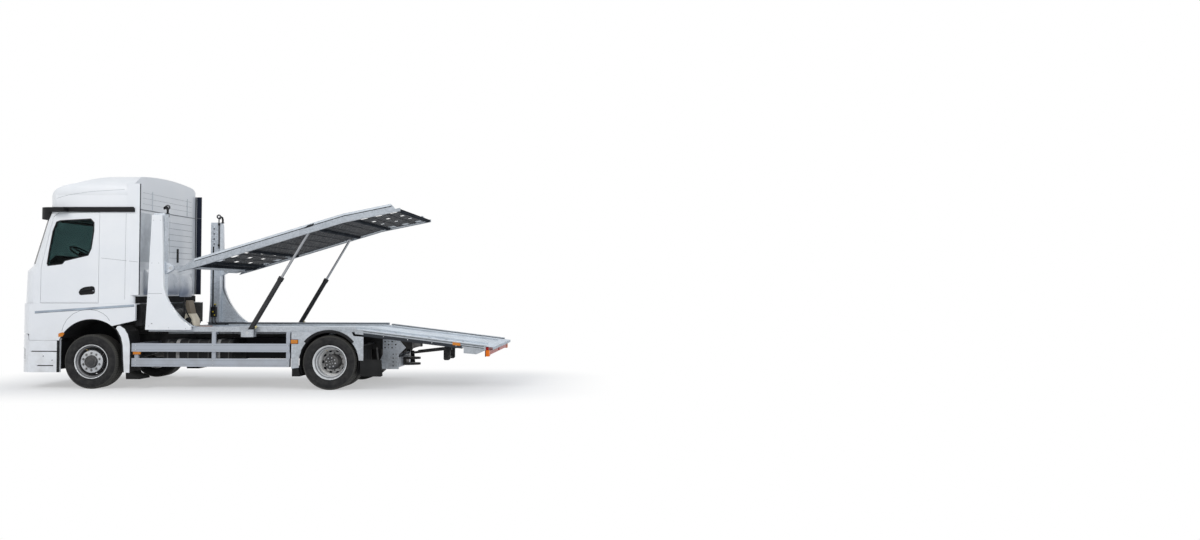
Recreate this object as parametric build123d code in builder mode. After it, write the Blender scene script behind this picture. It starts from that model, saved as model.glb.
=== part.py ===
from build123d import *
import os
from math import hypot, radians, sin, tan

# Car transporter truck: a rigid two-axle cab-over truck with an upper deck that tilts on two posts,
# a flat lower deck over the frame and a sloping rear deck.
# Millimetres, +X forward, +Y to the left, +Z up, origin on the ground under the middle of the length.

# Overall layout along the truck
FRONT_OVERHANG = 1420
WHEELBASE = 4200
REAR_OVERHANG = 2840
LENGTH = FRONT_OVERHANG + WHEELBASE + REAR_OVERHANG
FRONT_AXLE = LENGTH / 2 - FRONT_OVERHANG
REAR_AXLE = FRONT_AXLE - WHEELBASE
TAIL = REAR_AXLE - REAR_OVERHANG
BODY_HALF = 1250

# Wheels and tyres
TYRE_RADIUS = 475
TYRE_WIDTH = 310
RIM_RADIUS = 298
RIM_WIDTH = 250
BEAD_RADIUS = 286
WHEEL_Y = 1080
TWIN_GAP = 35
TWIN_SPACING = TYRE_WIDTH + TWIN_GAP
SPINDLE_RADIUS = 50
SPINDLE_CLEARANCE = 1
KINGPIN_Y = 870
KINGPIN_RADIUS = 24

# Frame rails
RAIL_Y = 430
RAIL_FLANGE = 75
RAIL_WALL = 8
RAIL_TOP = 930
RAIL_BOTTOM = 660
RAIL_NOSE = FRONT_AXLE + 950
RAIL_TAPER = REAR_AXLE - 600
RAIL_TAIL = REAR_AXLE - 1250
RAIL_TAIL_TOP = 830
SPRING_Y = RAIL_Y - RAIL_FLANGE / 2

# Cab
CAB_NOSE = FRONT_AXLE + FRONT_OVERHANG
CAB_BACK = FRONT_AXLE - 700
CAB_HALF = 1150
CAB_FLOOR = 1490
CAB_SEAM = 3170
CAB_WALL = 50
ROOF_RISE = 630
SHOULDER_Y = 900
NOSE_CROWN = 90
CORNER_DROP = 240
SKIRT_HALF = 1240
SKIRT_FRONT = CAB_NOSE - NOSE_CROWN - CORNER_DROP - 8
SKIRT_WALL = 50
BUMPER_BOTTOM = 290
BUMPER_TOP = 950
SKIRT_SEAM = 845
PANEL_GAP = 6
GLASS = 6
TILT_X = FRONT_AXLE + 1250
TILT_Z = 860
TILT_CLEARANCE = 8
TILT_PIN = 18
TILT_EYE = 38
TILT_PLATE = 20
TILT_CHEEK = 16
TILT_GAP = 4

# Lower deck
DECK_FRONT = FRONT_AXLE - 960
DECK_REAR = REAR_AXLE - 430
DECK_HALF = 1110
DECK_BEAM_BOTTOM = 1000
DECK_FLOOR = 1035
DECK_SIDE_TOP = 1089
SHEET = 6

# Posts and upper deck
POST_FRONT = FRONT_AXLE - 1045
POST_DEPTH = 190
POST_INNER = 1000
POST_OUTER = 1140
POST_TOP = 3080
PIVOT_X = POST_FRONT - POST_DEPTH - 105
PIVOT_Z = 2117
PIVOT_RADIUS = 25
UPPER_SLOPE = 16.8
UPPER_TAIL_SLOPE = 11.5
UPPER_MAIN = 2700
UPPER_TAIL_LENGTH = 985
UPPER_WEB = 8
UPPER_FLANGE = 55

# Deck cylinders
BARREL_RADIUS = 43
BARREL_STAND = 12
CYLINDER_Y = DECK_HALF + BARREL_STAND + BARREL_RADIUS
FOOT_X = PIVOT_X - 1420
FOOT_Z = 985
EYE_X = PIVOT_X - 2500
EYE_Z = PIVOT_Z + 698
ROD_RADIUS = 22.5
BARREL_LENGTH = 1125
ROD_CLEARANCE = 1.5
GLAND_CLEARANCE = 0.3
GLAND_LENGTH = 30
PIN_RADIUS = 20
PIN_CLEARANCE = 0.5

# Rear deck
REAR_HINGE_X = DECK_REAR - 20
REAR_HINGE_Z = 985
REAR_SLOPE = 6.9
REAR_BEAM = 85
REAR_BEAM_WIDTH = 70
LUG_Y = 800
LUG_RADIUS = 25
LUG_PIN = 14


def side_plane(y):
    """Upright plane along the truck at a given y; a plain extrude goes towards -Y."""
    return Plane.XZ.offset(-y)


def block(x_low, x_high, y_low, y_high, z_low, z_high, mode=Mode.ADD):
    """Rectangular bar between six planes, added to or cut from the part that is open."""
    with Locations(((x_low + x_high) / 2, (y_low + y_high) / 2, (z_low + z_high) / 2)):
        Box(x_high - x_low, abs(y_high - y_low), z_high - z_low, mode=mode)


def mirrored(part):
    """Copy on the other side of the truck."""
    with BuildPart() as copy:
        mirror(part, about=Plane.XZ)
    return copy


# Frame: two channel rails that taper at the tail, cross members and the plates that carry the cab's tilt pins
rail_outline = [
    (RAIL_NOSE, RAIL_BOTTOM),
    (RAIL_NOSE, RAIL_TOP),
    (RAIL_TAPER, RAIL_TOP),
    (RAIL_TAIL, RAIL_TAIL_TOP),
    (RAIL_TAIL, RAIL_BOTTOM),
]
# Columns: x, length along x, lowest z, highest z
cross_members = [
    (RAIL_NOSE - 60, 80, 690, 900),
    (FRONT_AXLE - 1500, 70, 700, 900),
    (FRONT_AXLE - 2700, 70, 700, 900),
    (REAR_AXLE + 480, 80, 690, 900),
    (REAR_AXLE - 480, 80, 690, 900),
    (RAIL_TAIL + 50, 80, 670, 800),
]
with BuildPart() as chassis_frame:
    with BuildSketch(side_plane(RAIL_Y)):
        Polygon(*rail_outline, align=None)
    extrude(amount=RAIL_FLANGE)
    with BuildSketch(side_plane(RAIL_Y - RAIL_WALL)):
        Polygon(*rail_outline, align=None)
        offset(amount=-RAIL_WALL, kind=Kind.INTERSECTION, mode=Mode.REPLACE)
    extrude(amount=RAIL_FLANGE - RAIL_WALL, mode=Mode.SUBTRACT)
    mirror(about=Plane.XZ)
    web_inner = RAIL_Y - RAIL_WALL
    for x, length, z_low, z_high in cross_members:
        block(x - length / 2, x + length / 2, -web_inner, web_inner, z_low, z_high)
    for side in (1, -1):
        with BuildSketch(side_plane(side * SPRING_Y + TILT_PLATE / 2)):
            Polygon(
                (RAIL_NOSE - 100, RAIL_TOP - RAIL_WALL),
                (RAIL_NOSE - 100, TILT_Z - 100),
                (RAIL_NOSE + 100, TILT_Z - 100),
                (TILT_X, TILT_Z - TILT_EYE),
                (TILT_X, TILT_Z + TILT_EYE),
                (RAIL_NOSE, RAIL_TOP - RAIL_WALL),
                align=None,
            )
            with Locations((TILT_X, TILT_Z)):
                Circle(TILT_EYE)
        extrude(amount=TILT_PLATE)
        with Locations((TILT_X, side * SPRING_Y, TILT_Z)):
            Cylinder(TILT_PIN, TILT_PLATE + 2 * (TILT_GAP + TILT_CHEEK), rotation=(90, 0, 0))

# Engine as one plain block on its feet, gearbox behind it and the shaft to the rear axle
ENGINE_FRONT = FRONT_AXLE + 650
ENGINE_BACK = FRONT_AXLE - 550
GEARBOX_BACK = FRONT_AXLE - 1350
RAIL_INNER = RAIL_Y - RAIL_FLANGE
SHAFT_Z = 620
with BuildPart() as engine_and_driveline:
    block(ENGINE_BACK, ENGINE_FRONT, -330, 330, 520, 1230)
    block(FRONT_AXLE + 300, FRONT_AXLE + 400, -RAIL_INNER, RAIL_INNER, RAIL_TOP - 60, RAIL_TOP)
    block(FRONT_AXLE - 500, FRONT_AXLE - 400, -RAIL_INNER, RAIL_INNER, RAIL_TOP - 60, RAIL_TOP)
    with BuildSketch(Plane.YZ.offset(ENGINE_BACK)):
        with Locations((0, SHAFT_Z + 80)):
            Circle(230)
    with BuildSketch(Plane.YZ.offset(GEARBOX_BACK)):
        with Locations((0, SHAFT_Z)):
            Circle(110)
    loft(ruled=True)
    shaft_run = GEARBOX_BACK - REAR_AXLE - 305
    shaft_drop = SHAFT_Z - TYRE_RADIUS
    with BuildSketch(Plane((GEARBOX_BACK, 0, SHAFT_Z), z_dir=(-shaft_run, 0, -shaft_drop))):
        Circle(60)
    extrude(amount=hypot(shaft_run, shaft_drop))

# Front axle: forged beam with a dropped middle, pin bosses at its ends and a leaf spring each side
beam_half = [
    (0, 330),
    (520, 330),
    (680, 405),
    (KINGPIN_Y, 405),
    (KINGPIN_Y, 545),
    (760, 545),
    (560, 440),
    (0, 440),
]
SPRING_REACH = 780
with BuildPart() as front_axle:
    with BuildSketch(Plane.YZ.offset(FRONT_AXLE)):
        Polygon(*beam_half, align=None)
        mirror(about=Plane.YZ)
    extrude(amount=55, both=True)
    for side in (1, -1):
        with Locations((FRONT_AXLE, side * KINGPIN_Y, 475)):
            Cylinder(60, 140)
            Cylinder(KINGPIN_RADIUS + PIN_CLEARANCE, 141, mode=Mode.SUBTRACT)
        with BuildSketch(side_plane(side * SPRING_Y + 37)):
            with BuildLine():
                low = ThreePointArc(
                    (FRONT_AXLE - SPRING_REACH, 590), (FRONT_AXLE, 446), (FRONT_AXLE + SPRING_REACH, 590)
                )
                high = ThreePointArc(
                    (FRONT_AXLE - SPRING_REACH, 625), (FRONT_AXLE, 496), (FRONT_AXLE + SPRING_REACH, 625)
                )
                Line(low @ 0, high @ 0)
                Line(low @ 1, high @ 1)
            make_face()
        extrude(amount=74)
        block(FRONT_AXLE - 70, FRONT_AXLE + 70, side * SPRING_Y - 45, side * SPRING_Y + 45, 438, 450)
        for end in (1, -1):
            hanger = FRONT_AXLE + end * (SPRING_REACH - 30)
            block(hanger - 30, hanger + 30, side * SPRING_Y - 37, side * SPRING_Y + 37, 590, RAIL_BOTTOM)

# Rear axle: banjo casing with the drive head, stub ends, trailing arms and air bellows under the rails
BELLOWS_X = REAR_AXLE - 380
ARM_FRONT = REAR_AXLE + 650
with BuildPart() as rear_axle:
    with BuildSketch(Plane.XZ.offset(0)):
        with Locations((REAR_AXLE, TYRE_RADIUS)):
            Circle(75)
    extrude(amount=WHEEL_Y - TWIN_SPACING - TYRE_WIDTH / 2 - 10, both=True)
    with BuildSketch(Plane.XZ):
        with Locations((REAR_AXLE, TYRE_RADIUS)):
            Circle(SPINDLE_RADIUS)
    extrude(amount=WHEEL_Y + 10, both=True)
    with Locations((REAR_AXLE, 0, TYRE_RADIUS)):
        Cylinder(190, 260, rotation=(90, 0, 0))
    with BuildSketch(Plane.YZ.offset(REAR_AXLE)):
        with Locations((0, TYRE_RADIUS)):
            Circle(150)
    with BuildSketch(Plane.YZ.offset(REAR_AXLE + 300)):
        with Locations((0, TYRE_RADIUS)):
            Circle(85)
    loft(ruled=True)
    for side in (1, -1):
        with BuildSketch(side_plane(side * SPRING_Y + 35)):
            Polygon(
                (ARM_FRONT, 600),
                (ARM_FRONT, RAIL_BOTTOM),
                (ARM_FRONT - 70, RAIL_BOTTOM),
                (ARM_FRONT - 90, 620),
                (REAR_AXLE, 500),
                (BELLOWS_X - 110, 440),
                (BELLOWS_X - 110, 395),
                (REAR_AXLE - 120, 395),
                align=None,
            )
        extrude(amount=70)
        with BuildSketch(Plane.XY.offset(430)):
            with Locations((BELLOWS_X, side * SPRING_Y)):
                Circle(115)
        extrude(amount=RAIL_BOTTOM - 430)

# Tanks beside the rails: a fuel tank on the left, a battery box and an air tank on the right
# Columns: side, front x, back x, inner y, outer y, lowest z, highest z, corner radius
TANK_SEAT = RAIL_Y + 40
tank_table = [
    (1, FRONT_AXLE - 1250, FRONT_AXLE - 2450, TANK_SEAT, 1120, 400, 860, 90),
    (-1, FRONT_AXLE - 1000, FRONT_AXLE - 1650, TANK_SEAT, 1120, 450, 870, 30),
    (-1, FRONT_AXLE - 1800, FRONT_AXLE - 2800, TANK_SEAT, TANK_SEAT + 390, 480, 860, 180),
]
with BuildPart() as side_tanks:
    for side, front, back, inner, outer, z_low, z_high, corner in tank_table:
        with BuildSketch(Plane.YZ.offset(back)):
            with Locations((side * (inner + outer) / 2, (z_low + z_high) / 2)):
                RectangleRounded(outer - inner, z_high - z_low, corner)
        extrude(amount=front - back)
        for share in (0.2, 0.8):
            middle = back + share * (front - back)
            block(middle - 40, middle + 40, side * RAIL_Y, side * (inner + corner), 700, 800)

# Side guards: two aluminium rails on hangers under the lower deck and on a brace from the frame
GUARD_FRONT = FRONT_AXLE - 720
GUARD_BACK = REAR_AXLE + 700
GUARD_OUTER = 1215
GUARD_RAILS = [(655, 800), (395, 540)]
GUARD_BRACE_X = GUARD_FRONT - 70
# Columns: x, highest z, inner y of the arm at the top
hangers = [
    (GUARD_BRACE_X, GUARD_RAILS[0][1], RAIL_Y),
    ((GUARD_FRONT + GUARD_BACK) / 2 - 45, DECK_BEAM_BOTTOM, DECK_HALF - 60),
    (GUARD_BACK + 35, DECK_BEAM_BOTTOM, DECK_HALF - 60),
]
with BuildPart() as side_guards:
    for side in (1, -1):
        for z_low, z_high in GUARD_RAILS:
            block(GUARD_BACK, GUARD_FRONT, side * (GUARD_OUTER - 30), side * GUARD_OUTER, z_low, z_high)
        for station, top, arm_inner in hangers:
            block(
                station - 35, station + 35, side * (GUARD_OUTER - 70), side * (GUARD_OUTER - 30),
                GUARD_RAILS[1][0], top,
            )
            block(station - 35, station + 35, side * arm_inner, side * (GUARD_OUTER - 30), top - 40, top)


def nose_outline(nose, half, back, inset=0, rear_radius=0):
    """Closed plan outline of the crowned front with rounded corners, straight back to a given x."""
    shoulder = nose - NOSE_CROWN - inset
    corner = nose - NOSE_CROWN - CORNER_DROP
    side = half - inset
    with BuildSketch() as outline:
        with BuildLine():
            ThreePointArc((shoulder, SHOULDER_Y), (nose - inset, 0), (shoulder, -SHOULDER_Y))
            bulge = ((shoulder + corner) / 2 + 45, (SHOULDER_Y + side) / 2 + 50)
            ThreePointArc((corner, side), bulge, (shoulder, SHOULDER_Y))
            ThreePointArc((corner, -side), (bulge[0], -bulge[1]), (shoulder, -SHOULDER_Y))
            if rear_radius:
                turn = rear_radius - inset
                bow = turn * (1 - sin(radians(45)))
                for hand in (1, -1):
                    Line((corner, hand * side), (back + turn, hand * side))
                    ThreePointArc(
                        (back + turn, hand * side),
                        (back + bow, hand * (side - bow)),
                        (back, hand * (side - turn)),
                    )
                Line((back, side - turn), (back, turn - side))
            else:
                Polyline((corner, side), (back, side), (back, -side), (corner, -side))
        make_face()
    return outline.sketch


def front_shell(half, back, z_low, z_high, wall):
    """Wrap-round front panel, open at the back."""
    with BuildPart() as shell:
        with BuildSketch(Plane.XY.offset(z_low)):
            add(nose_outline(CAB_NOSE, half, back))
        extrude(amount=z_high - z_low)
        with BuildSketch(Plane.XY.offset(z_low)):
            add(nose_outline(CAB_NOSE, half, back - 1, wall))
        extrude(amount=z_high - z_low, mode=Mode.SUBTRACT)
    return shell.part


# Front bumper on the frame, with a chin that leaves room for the cab to tilt, and lamp pockets
BUMPER_BACK = FRONT_AXLE + 545
LAMP_LOW = 520
LAMP_HIGH = 700
LAMP_INNER = 760
LAMP_OUTER = 1200
LAMP_BACK = SKIRT_FRONT + 40
# Columns: rear x, front x, lowest z, highest z, depth
bumper_grooves = [
    (FRONT_AXLE + 575, FRONT_AXLE + 1050, 646, 664, 14),
    (FRONT_AXLE + 650, FRONT_AXLE + 942, 398, 416, 30),
]
# Columns: x, z, radius
bumper_holes = [
    (FRONT_AXLE + 829, 572, 10),
    (FRONT_AXLE + 671, 500, 10),
]
bumper_form = front_shell(SKIRT_HALF, BUMPER_BACK, BUMPER_BOTTOM, BUMPER_TOP, SKIRT_WALL)
with BuildPart() as front_bumper:
    add(bumper_form)
    block(BUMPER_BACK - 1, SKIRT_FRONT, -BODY_HALF, BODY_HALF, SKIRT_SEAM, BUMPER_TOP + 1, Mode.SUBTRACT)
    with BuildSketch(side_plane(BODY_HALF)):
        Polygon(
            (TILT_X + 30, BUMPER_TOP + 1),
            (CAB_NOSE + 1, TILT_Z - 110),
            (CAB_NOSE + 1, BUMPER_TOP + 1),
            align=None,
        )
    extrude(amount=2 * BODY_HALF, mode=Mode.SUBTRACT)
    with BuildSketch(side_plane(BODY_HALF)):
        with Locations(((SKIRT_FRONT + TILT_X) / 2, (SKIRT_SEAM + BUMPER_TOP + 1) / 2)):
            Rectangle(TILT_X - SKIRT_FRONT, BUMPER_TOP + 1 - SKIRT_SEAM)
        with Locations((TILT_X, TILT_Z)):
            Circle(TILT_X - SKIRT_FRONT - TILT_CLEARANCE, mode=Mode.SUBTRACT)
    extrude(amount=2 * BODY_HALF, mode=Mode.SUBTRACT)
    for side in (1, -1):
        block(RAIL_NOSE, CAB_NOSE - SKIRT_WALL, side * (SPRING_Y - 30), side * (SPRING_Y + 30), 680, 740)
        block(LAMP_BACK, CAB_NOSE, side * LAMP_INNER, side * LAMP_OUTER, LAMP_LOW, LAMP_HIGH, Mode.SUBTRACT)
        for x_low, x_high, z_low, z_high, depth in bumper_grooves:
            block(
                x_low, x_high, side * (SKIRT_HALF - depth), side * (SKIRT_HALF + 1),
                z_low, z_high, Mode.SUBTRACT,
            )
        with BuildSketch(side_plane(side * (SKIRT_HALF - SKIRT_WALL / 4) + SKIRT_WALL / 2)):
            for x, z, radius in bumper_holes:
                with Locations((x, z)):
                    Circle(radius)
        extrude(amount=SKIRT_WALL, mode=Mode.SUBTRACT)

# Front lamps in the bumper pockets
LAMP_GAP = 0.3
with BuildPart() as front_lamps:
    for side in (1, -1):
        block(
            LAMP_BACK + LAMP_GAP, CAB_NOSE, side * (LAMP_INNER + LAMP_GAP), side * (LAMP_OUTER - LAMP_GAP),
            LAMP_LOW + LAMP_GAP, LAMP_HIGH - LAMP_GAP,
        )
    add(bumper_form, mode=Mode.INTERSECT)

# Mudguards: a white flap panel behind each front wheel and a curved guard over each rear pair
FLAP_FRONT = FRONT_AXLE - 625
FLAP_BACK = FRONT_AXLE - 690
GUARD_RADIUS = DECK_BEAM_BOTTOM - TYRE_RADIUS - SHEET
with BuildPart() as mudguards:
    for side in (1, -1):
        with BuildSketch(side_plane(side * (KINGPIN_Y + 185) + 185)):
            Polygon(
                (FLAP_FRONT, 290),
                (FLAP_FRONT + 15, 760),
                (FRONT_AXLE - 560, 1000),
                (FRONT_AXLE - 480, 1095),
                (FRONT_AXLE - 530, 1110),
                (FRONT_AXLE - 640, 1010),
                (FLAP_BACK - 5, 760),
                (FLAP_BACK - 15, 290),
                align=None,
            )
        extrude(amount=370)
        block(FLAP_BACK, FLAP_BACK + 30, side * RAIL_Y, side * (KINGPIN_Y + 10), 700, 760)
        with BuildSketch(side_plane(side * 905 + 335)):
            with Locations((REAR_AXLE, TYRE_RADIUS)):
                Circle(GUARD_RADIUS + SHEET)
                Circle(GUARD_RADIUS, mode=Mode.SUBTRACT)
            with Locations((REAR_AXLE, TYRE_RADIUS - 120)):
                Rectangle(4 * TYRE_RADIUS, 2 * TYRE_RADIUS, mode=Mode.SUBTRACT)
        extrude(amount=670)

# Lower deck: side channels, cross bars, sills on the frame rails, wheel arch panels and cylinder feet
ARCH_PANEL_Y = 1250
DECK_BARS = 10
FOOT_HALF = 110
foot_inner = DECK_HALF + 2
foot_outer = 2 * CYLINDER_Y - foot_inner
ARCH_FRONT = REAR_AXLE + 655
ARCH_BACK = REAR_AXLE - 600
arch_panel = [
    (ARCH_FRONT, 371),
    (ARCH_FRONT, DECK_BEAM_BOTTOM + 6),
    (DECK_REAR + 40, DECK_BEAM_BOTTOM + 6),
    (DECK_REAR, 940),
    (ARCH_BACK, 925),
    (ARCH_BACK, 516),
    (ARCH_BACK + 250, 516),
]
with BuildPart() as lower_deck_frame:
    for side in (1, -1):
        block(
            DECK_REAR, DECK_FRONT, side * (DECK_HALF - 8), side * DECK_HALF,
            DECK_BEAM_BOTTOM, DECK_SIDE_TOP,
        )
        block(
            DECK_REAR, DECK_FRONT, side * (DECK_HALF - 60), side * DECK_HALF,
            DECK_BEAM_BOTTOM, DECK_BEAM_BOTTOM + 8,
        )
        block(
            DECK_REAR, DECK_FRONT, side * (DECK_HALF - 60), side * DECK_HALF,
            DECK_SIDE_TOP - 8, DECK_SIDE_TOP,
        )
        block(DECK_REAR, DECK_FRONT, side * 360, side * RAIL_Y, RAIL_TOP, DECK_BEAM_BOTTOM)
        block(FOOT_X - FOOT_HALF, FOOT_X + FOOT_HALF, side * DECK_HALF, side * (foot_outer + 10), 915, 925)
        block(
            FOOT_X - FOOT_HALF, FOOT_X + FOOT_HALF, side * DECK_HALF, side * (foot_inner + 8),
            915, DECK_SIDE_TOP,
        )
        block(FOOT_X - FOOT_HALF, FOOT_X + FOOT_HALF, side * foot_outer, side * (foot_outer + 10), 915, 1045)
        with Locations((FOOT_X, side * (foot_inner + foot_outer + 10) / 2, FOOT_Z)):
            Cylinder(PIN_RADIUS, foot_outer - foot_inner + 10, rotation=(90, 0, 0))
        with BuildSketch(side_plane(side * (ARCH_PANEL_Y - 3) + 3)):
            Polygon(*arch_panel, align=None)
            with Locations((REAR_AXLE, TYRE_RADIUS)):
                Circle(GUARD_RADIUS + SHEET, mode=Mode.SUBTRACT)
            with Locations((REAR_AXLE, 0)):
                Rectangle(2 * GUARD_RADIUS - 40, 2 * TYRE_RADIUS, mode=Mode.SUBTRACT)
        extrude(amount=6)
        block(
            DECK_REAR + 40, ARCH_FRONT, side * DECK_HALF, side * ARCH_PANEL_Y,
            DECK_BEAM_BOTTOM, DECK_BEAM_BOTTOM + 6,
        )
        with BuildSketch(side_plane(side * LUG_Y + 20)):
            Polygon(
                (DECK_REAR + 60, REAR_HINGE_Z - LUG_RADIUS),
                (REAR_HINGE_X, REAR_HINGE_Z - LUG_RADIUS),
                (REAR_HINGE_X, REAR_HINGE_Z + LUG_RADIUS),
                (DECK_REAR + 60, REAR_HINGE_Z + LUG_RADIUS),
                align=None,
            )
            with Locations((REAR_HINGE_X, REAR_HINGE_Z)):
                Circle(LUG_RADIUS)
        extrude(amount=20)
        with Locations((REAR_HINGE_X, side * LUG_Y - 2, REAR_HINGE_Z)):
            Cylinder(LUG_PIN, 50, rotation=(90, 0, 0))
    pitch = (DECK_FRONT - DECK_REAR - 80) / (DECK_BARS - 1)
    for index in range(DECK_BARS):
        x = DECK_REAR + 40 + index * pitch
        block(x - 25, x + 25, 8 - DECK_HALF, DECK_HALF - 8, DECK_BEAM_BOTTOM, DECK_FLOOR)

# Chequered floor of the lower deck
with BuildPart() as lower_deck_floor:
    block(
        DECK_REAR, DECK_FRONT, 10 - DECK_HALF, DECK_HALF - 10, DECK_FLOOR, DECK_FLOOR + SHEET,
    )

# Posts: box columns with a flared gusset, a hole row for the deck height and ears for the deck pivot
POST_BACK = POST_FRONT - POST_DEPTH
FLARE_TOP = 1750
FLARE_BACK = FRONT_AXLE - 1750
EAR_GAP = 46
EAR_WALL = 16
EAR_Y = POST_INNER + POST_OUTER - 1070
HOLE_ROW = [2648, 2750, 2852, 2954]
with BuildPart() as post_left:
    block(POST_BACK, POST_FRONT, POST_INNER, POST_OUTER, DECK_SIDE_TOP, POST_TOP)
    block(
        POST_BACK + 10, POST_FRONT - 10, POST_INNER + 10, POST_OUTER - 10, DECK_SIDE_TOP, POST_TOP - 10,
        Mode.SUBTRACT,
    )
    block(POST_FRONT - 70, POST_FRONT - 40, POST_INNER - 1, POST_INNER + 11, 1200, 2600, Mode.SUBTRACT)
    with BuildSketch(side_plane(POST_INNER + 11)):
        with Locations(*[((POST_FRONT + POST_BACK) / 2 + 30, height) for height in HOLE_ROW]):
            Circle(16)
    extrude(amount=12, mode=Mode.SUBTRACT)
    with BuildSketch(side_plane(POST_OUTER - 20)):
        with BuildLine():
            flare = ThreePointArc(
                (POST_BACK, FLARE_TOP), (POST_BACK - 155, 1440), (FLARE_BACK, DECK_SIDE_TOP + 12)
            )
            Polyline(flare @ 1, (FLARE_BACK, DECK_SIDE_TOP), (POST_BACK, DECK_SIDE_TOP), flare @ 0)
        make_face()
    extrude(amount=12)
    block(FLARE_BACK, POST_FRONT, POST_INNER, POST_OUTER, DECK_SIDE_TOP, DECK_SIDE_TOP + 12)
    for ear_y in (EAR_Y + EAR_GAP / 2 + EAR_WALL, EAR_Y - EAR_GAP / 2):
        with BuildSketch(side_plane(ear_y)):
            Polygon(
                (POST_BACK, PIVOT_Z - 110),
                (PIVOT_X - 20, PIVOT_Z - 45),
                (PIVOT_X - 20, PIVOT_Z + 45),
                (POST_BACK, PIVOT_Z + 110),
                align=None,
            )
            with Locations((PIVOT_X, PIVOT_Z)):
                Circle(48)
        extrude(amount=EAR_WALL)
    with Locations((PIVOT_X, EAR_Y, PIVOT_Z)):
        Cylinder(PIVOT_RADIUS, EAR_GAP + 2 * EAR_WALL, rotation=(90, 0, 0))

# White fairing outside each post
FAIRING_OUTER = 1200
FAIRING_WALL = 5
FAIRING_BOTTOM = 1035
fairing_points = (
    (POST_FRONT + 5, POST_TOP - 38),
    (POST_BACK + 15, POST_TOP - 38),
    (POST_BACK - 25, FLARE_TOP + 40),
    (POST_BACK - 165, 1450),
    (FLARE_BACK, FAIRING_BOTTOM + 45),
    (FLARE_BACK, FAIRING_BOTTOM),
    (POST_FRONT + 100, FAIRING_BOTTOM),
    (POST_FRONT + 65, 1670),
)
with BuildPart() as fairing_left:
    for depth, start, inset, mode in ((48, 0, 0, Mode.ADD), (48, 5, FAIRING_WALL, Mode.SUBTRACT)):
        with BuildSketch(side_plane(FAIRING_OUTER - start)):
            with BuildLine():
                Line(fairing_points[0], fairing_points[1])
                Line(fairing_points[1], fairing_points[2])
                ThreePointArc(fairing_points[2], fairing_points[3], fairing_points[4])
                Polyline(*fairing_points[4:], fairing_points[0])
            make_face()
            if inset:
                offset(amount=-inset, kind=Kind.INTERSECTION, mode=Mode.REPLACE)
        extrude(amount=depth, mode=mode)
    with BuildSketch(side_plane(FAIRING_OUTER)):
        with Locations((POST_FRONT - 16, 1143)):
            Circle(9)
    extrude(amount=FAIRING_WALL, mode=Mode.SUBTRACT)
    for z in (1500, 2900):
        block(POST_BACK + 60, POST_BACK + 120, POST_OUTER, FAIRING_OUTER - FAIRING_WALL, z, z + 60)

# Coupling under the tail: a low carrier on the frame rails with the jaw for the drawbar
CARRIER_FRONT = REAR_AXLE - 720
CARRIER_BACK = REAR_AXLE - 1010
CARRIER_WALL = 15
JAW_Z = 420
JAW_GAP = 70
JAW_PLATE = 35
JAW_HALF = 110
JAW_PIN_X = CARRIER_BACK - 190
JAW_BORE = 25
with BuildPart() as coupling_carrier:
    for side in (1, -1):
        with BuildSketch(side_plane(side * (RAIL_Y + CARRIER_WALL / 2) + CARRIER_WALL / 2)):
            Polygon(
                (CARRIER_FRONT, 840),
                (CARRIER_BACK, 840),
                (CARRIER_BACK - 130, 690),
                (CARRIER_BACK, 560),
                (CARRIER_BACK, 300),
                (CARRIER_FRONT + 120, 300),
                (CARRIER_FRONT, 560),
                align=None,
            )
        extrude(amount=CARRIER_WALL)
    block(CARRIER_BACK, CARRIER_BACK + 150, -RAIL_Y, RAIL_Y, JAW_Z - 90, JAW_Z + 90)
with BuildPart() as tow_coupling:
    for z in (JAW_Z + JAW_GAP / 2, JAW_Z - JAW_GAP / 2 - JAW_PLATE):
        with BuildSketch(Plane.XY.offset(z)):
            with Locations((JAW_PIN_X, 0)):
                Circle(JAW_HALF)
            with Locations(((JAW_PIN_X + CARRIER_BACK) / 2, 0)):
                Rectangle(CARRIER_BACK - JAW_PIN_X, 2 * JAW_HALF)
            with Locations((JAW_PIN_X, 0)):
                Circle(JAW_BORE, mode=Mode.SUBTRACT)
        extrude(amount=JAW_PLATE)
    block(
        CARRIER_BACK - 60, CARRIER_BACK, -JAW_HALF, JAW_HALF,
        JAW_Z - JAW_GAP / 2 - JAW_PLATE, JAW_Z + JAW_GAP / 2 + JAW_PLATE,
    )

# Cab shell, lofted through plan outlines; the doors are cut from the same wall and hang on arms inside it
# Columns: height, nose x, half width
cab_sections = [
    (CAB_FLOOR, CAB_NOSE, CAB_HALF),
    (2060, CAB_NOSE - 20, CAB_HALF),
    (2150, CAB_NOSE - 120, CAB_HALF),
    (3000, CAB_NOSE - 370, CAB_HALF - 8),
    (CAB_SEAM, CAB_NOSE - 435, CAB_HALF - 12),
]
REAR_RADIUS = 120


def cab_form(inset, sections):
    """Solid inside the cab's outer skin, moved inwards by an inset."""
    with BuildPart() as form:
        for height, nose, half in sections:
            with BuildSketch(Plane.XY.offset(height)):
                add(nose_outline(nose, half, CAB_BACK + inset, inset, REAR_RADIUS))
        loft(ruled=True)
    return form.part


inner_sections = [(CAB_FLOOR + CAB_WALL, CAB_NOSE, CAB_HALF)] + cab_sections[1:]
with BuildPart() as cab_wall:
    add(cab_form(0, cab_sections))
    add(cab_form(CAB_WALL, inner_sections), mode=Mode.SUBTRACT)

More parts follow.
